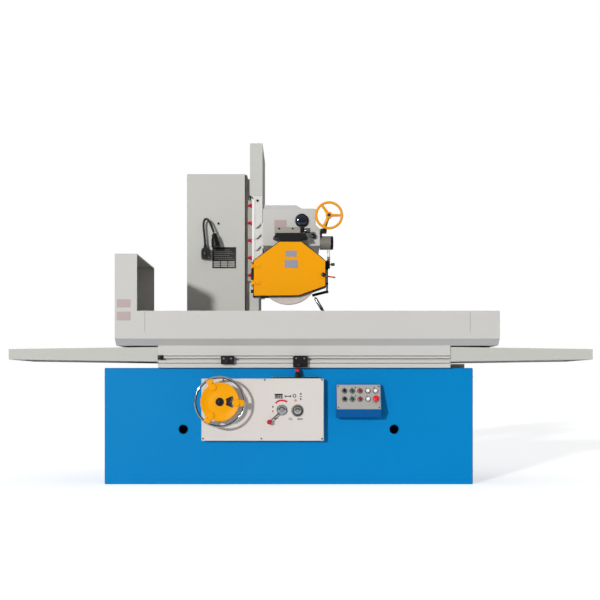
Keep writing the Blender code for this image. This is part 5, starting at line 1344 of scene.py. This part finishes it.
def make_coolant():
    """The pale feed pipe, its nuts, the valve knob, the coolant lever and the swivelling tube."""
    x, y = 0.2685, -0.055
    feed = tube("coolant_feed_pipe", ((x, 0.060, 1.560), (x, 0.010, 1.560), (x, -0.038, 1.557), (x, y, 1.535),
                                      (x, y, 1.4900)), 0.0085)
    done(feed, "moulded_abs_white", "wheelhead", "white_plastic", "coolant_pipe", smooth=60)
    for number, z in enumerate((1.5035, 1.4915)):
        nut = turned(f"coolant_union_{number}", [(0.0118, 0.0), (0.0122, 0.001), (0.0122, 0.008),
                                                 (0.0115, 0.009)], (x, y, z), ALONG_Z, sides=6)
        done(nut, "turned_steel", "wheelhead", "ground_steel")
    for number, z in enumerate((1.4245, 1.3270)):
        nut = turned(f"coolant_pipe_nut_{number}", [(0.0088, 0.0), (0.0092, 0.001), (0.0092, 0.008),
                                                    (0.0086, 0.009)], (0.2585, y, z), ALONG_Z, sides=6)
        done(nut, "black_oxide_steel", "wheelhead", "black_enamel")

    seat = Vector((0.278, -0.055, 1.462))
    stem = bar("valve_stem", seat - Vector((0.0077, 0, 0)), seat + Vector((0.007, 0, 0)), 0.0038)
    done(stem, "turned_steel", "valve_knob", "ground_steel", "valve_knob")
    grip = turned("valve_grip", [(0.0085, 0.006), (0.0100, 0.0075), (0.0100, 0.0185), (0.0092, 0.020)],
                  seat, ALONG_X)
    done(grip, "moulded_abs_green", "valve_knob", "green_plastic")
    tip = turned("valve_cap", [(0.0090, 0.0195), (0.0098, 0.021), (0.0098, 0.0285), (0.0080, 0.0318),
                               (0.004, 0.0320)], seat, ALONG_X)
    done(tip, "moulded_abs_black", "valve_knob", "black_plastic")

    pivot = Vector((0.2585, -0.0613, 1.380))
    boss = bar("coolant_lever_boss", pivot, pivot - Vector((0, 0.020, 0)), 0.0060, edge=0.0008)
    done(boss, "moulded_abs_orange", "coolant_lever", "orange_plastic", "coolant_lever")
    start, end = pivot - Vector((0, 0.014, 0)), Vector((0.313, pivot.y - 0.014, 1.372))
    arm = bar("coolant_lever_arm", start, start.lerp(end, 0.78), 0.0045, 0.0055, edge=0.0006)
    done(arm, "moulded_abs_orange", "coolant_lever", "orange_plastic")
    end_cap = bar("coolant_lever_tip", start.lerp(end, 0.76), end, 0.0056, 0.0050, edge=0.0010)
    done(end_cap, "moulded_phenolic_red", "coolant_lever", "red_plastic")

    swivel = Vector((0.172, -0.025, 1.249))
    end = Vector((0.238, -0.025, 1.138))
    reach = (end - swivel).normalized()
    span = (end - swivel).length
    pipe = turned("coolant_nozzle", [(0.0058, 0.0065), (0.0060, 0.0140), (0.0100, 0.0150), (0.0105, 0.0160),
                                     (0.0105, span - 0.0300), (0.0096, span - 0.0290),
                                     (0.0096, span - 0.0012), (0.0090, span), (0.0070, span),
                                     (0.0070, span - 0.020)],
                  swivel, reach, sides=40)
    done(pipe, "satin_chrome", "coolant_tube", "chrome", "coolant_tube")
    ring = turned("coolant_nozzle_ring", [(0.0106, span - 0.0360), (0.0118, span - 0.0350),
                                          (0.0118, span - 0.0300), (0.0106, span - 0.0290)],
                  swivel, reach, sides=40)
    done(ring, "black_oxide_steel", "coolant_tube", "black_enamel")


# ---------------------------------------------------------------- operators

class GRINDER_OT_stage(bpy.types.Operator):
    """Set the pale floor, the lights and the camera"""
    bl_idname = "grinder.stage"
    bl_label = "Stage"

    def execute(self, context):
        set_stage(context.scene.grinder_colours)
        return {'FINISHED'}


class GRINDER_OT_finishes(bpy.types.Operator):
    """Make every finish and put the right one on each CAD node"""
    bl_idname = "grinder.finishes"
    bl_label = "Finishes"

    def execute(self, context):
        make_finishes(context.scene.grinder_colours)
        coat_frame()
        return {'FINISHED'}


class GRINDER_OT_feed_handwheel(bpy.types.Operator):
    """Build the vertical-feed handwheel and its dial"""
    bl_idname = "grinder.feed_handwheel"
    bl_label = "Vertical-feed handwheel"

    def execute(self, context):
        make_feed_handwheel(context.scene.grinder_sizes)
        return {'FINISHED'}


class GRINDER_OT_levers(bpy.types.Operator):
    """Build the hydraulic lever, the speed knob and the reversing lever"""
    bl_idname = "grinder.levers"
    bl_label = "Levers and knob"

    def execute(self, context):
        make_levers(context.scene.grinder_sizes)
        return {'FINISHED'}


class GRINDER_OT_panel_details(bpy.types.Operator):
    """Build the control panel's screws, lever base and printed symbols"""
    bl_idname = "grinder.panel_details"
    bl_label = "Control panel details"

    def execute(self, context):
        make_panel_details(context.scene.grinder_sizes)
        return {'FINISHED'}


class GRINDER_OT_console(bpy.types.Operator):
    """Build the console's bezels, buttons, selectors and stop button"""
    bl_idname = "grinder.console"
    bl_label = "Push-button console"

    def execute(self, context):
        make_console(context.scene.grinder_sizes)
        return {'FINISHED'}


class GRINDER_OT_bed_details(bpy.types.Operator):
    """Build the bed's liner rings, end screws and rear plate"""
    bl_idname = "grinder.bed_details"
    bl_label = "Bed details"

    def execute(self, context):
        make_bed_details()
        return {'FINISHED'}


class GRINDER_OT_table_details(bpy.types.Operator):
    """Build the details of the table, tray, trip dogs, chuck and way covers"""
    bl_idname = "grinder.table_details"
    bl_label = "Table details"

    def execute(self, context):
        make_table_details(context.scene.grinder_sizes)
        return {'FINISHED'}


class GRINDER_OT_column_details(bpy.types.Operator):
    """Build the column's specification plate, painted shade strip, bolts and rear cover"""
    bl_idname = "grinder.column_details"
    bl_label = "Column details"

    def execute(self, context):
        make_column_details()
        return {'FINISHED'}


class GRINDER_OT_lamp(bpy.types.Operator):
    """Build the work lamp"""
    bl_idname = "grinder.lamp"
    bl_label = "Work lamp"

    def execute(self, context):
        make_lamp()
        return {'FINISHED'}


class GRINDER_OT_carriage_details(bpy.types.Operator):
    """Build the carriage's lubrication caps, edge strip, bolts, hose and cover screws"""
    bl_idname = "grinder.carriage_details"
    bl_label = "Carriage details"

    def execute(self, context):
        make_carriage_details()
        return {'FINISHED'}


class GRINDER_OT_wheelhead_details(bpy.types.Operator):
    """Build the wheelhead's label, sight glass, cover screws and spindle motor"""
    bl_idname = "grinder.wheelhead_details"
    bl_label = "Wheelhead details"

    def execute(self, context):
        make_wheelhead_details()
        return {'FINISHED'}


class GRINDER_OT_guard_details(bpy.types.Operator):
    """Build the guard door's labels, rivets and latch"""
    bl_idname = "grinder.guard_details"
    bl_label = "Guard details"

    def execute(self, context):
        make_guard_details()
        return {'FINISHED'}


class GRINDER_OT_spindle_pieces(bpy.types.Operator):
    """Build the grinding wheel and its clamping flange"""
    bl_idname = "grinder.spindle_pieces"
    bl_label = "Wheel and flange"

    def execute(self, context):
        make_spindle_pieces()
        return {'FINISHED'}


class GRINDER_OT_dresser(bpy.types.Operator):
    """Build the dresser's clamp, screws and knob"""
    bl_idname = "grinder.dresser"
    bl_label = "Dresser"

    def execute(self, context):
        make_dresser()
        return {'FINISHED'}


class GRINDER_OT_crossfeed(bpy.types.Operator):
    """Build the cross-feed handwheel, bracket, motor and head knob"""
    bl_idname = "grinder.crossfeed"
    bl_label = "Cross feed"

    def execute(self, context):
        make_crossfeed()
        return {'FINISHED'}


class GRINDER_OT_coolant(bpy.types.Operator):
    """Build the coolant pipe, valve, lever and nozzle"""
    bl_idname = "grinder.coolant"
    bl_label = "Coolant"

    def execute(self, context):
        make_coolant()
        return {'FINISHED'}


STEPS = (
    GRINDER_OT_stage, GRINDER_OT_finishes, GRINDER_OT_feed_handwheel, GRINDER_OT_levers,
    GRINDER_OT_panel_details, GRINDER_OT_console, GRINDER_OT_bed_details, GRINDER_OT_table_details,
    GRINDER_OT_column_details, GRINDER_OT_lamp, GRINDER_OT_carriage_details, GRINDER_OT_wheelhead_details,
    GRINDER_OT_guard_details, GRINDER_OT_spindle_pieces, GRINDER_OT_dresser, GRINDER_OT_crossfeed,
    GRINDER_OT_coolant,
)


class GRINDER_PT_panel(bpy.types.Panel):
    """Lists the grinder's sizes, colours and pieces"""
    bl_idname = "GRINDER_PT_panel"
    bl_label = "Surface Grinder"
    bl_space_type = 'VIEW_3D'
    bl_region_type = 'UI'
    bl_category = "Grinder"

    def draw(self, context):
        for group in (context.scene.grinder_colours, context.scene.grinder_sizes):
            for name in group.__annotations__:
                self.layout.prop(group, name)
        for step in STEPS:
            self.layout.operator(step.bl_idname)


CLASSES = (GrinderColours, GrinderSizes, *STEPS, GRINDER_PT_panel)


def register():
    for cls in CLASSES:
        bpy.utils.register_class(cls)
    bpy.types.Scene.grinder_colours = bpy.props.PointerProperty(type=GrinderColours)
    bpy.types.Scene.grinder_sizes = bpy.props.PointerProperty(type=GrinderSizes)


def unregister():
    del bpy.types.Scene.grinder_sizes
    del bpy.types.Scene.grinder_colours
    for cls in reversed(CLASSES):
        bpy.utils.unregister_class(cls)


def main():
    register()
    for step in STEPS:
        group, name = step.bl_idname.split(".")
        getattr(getattr(bpy.ops, group), name)()
    let_go()


if __name__ == "__main__":
    main()
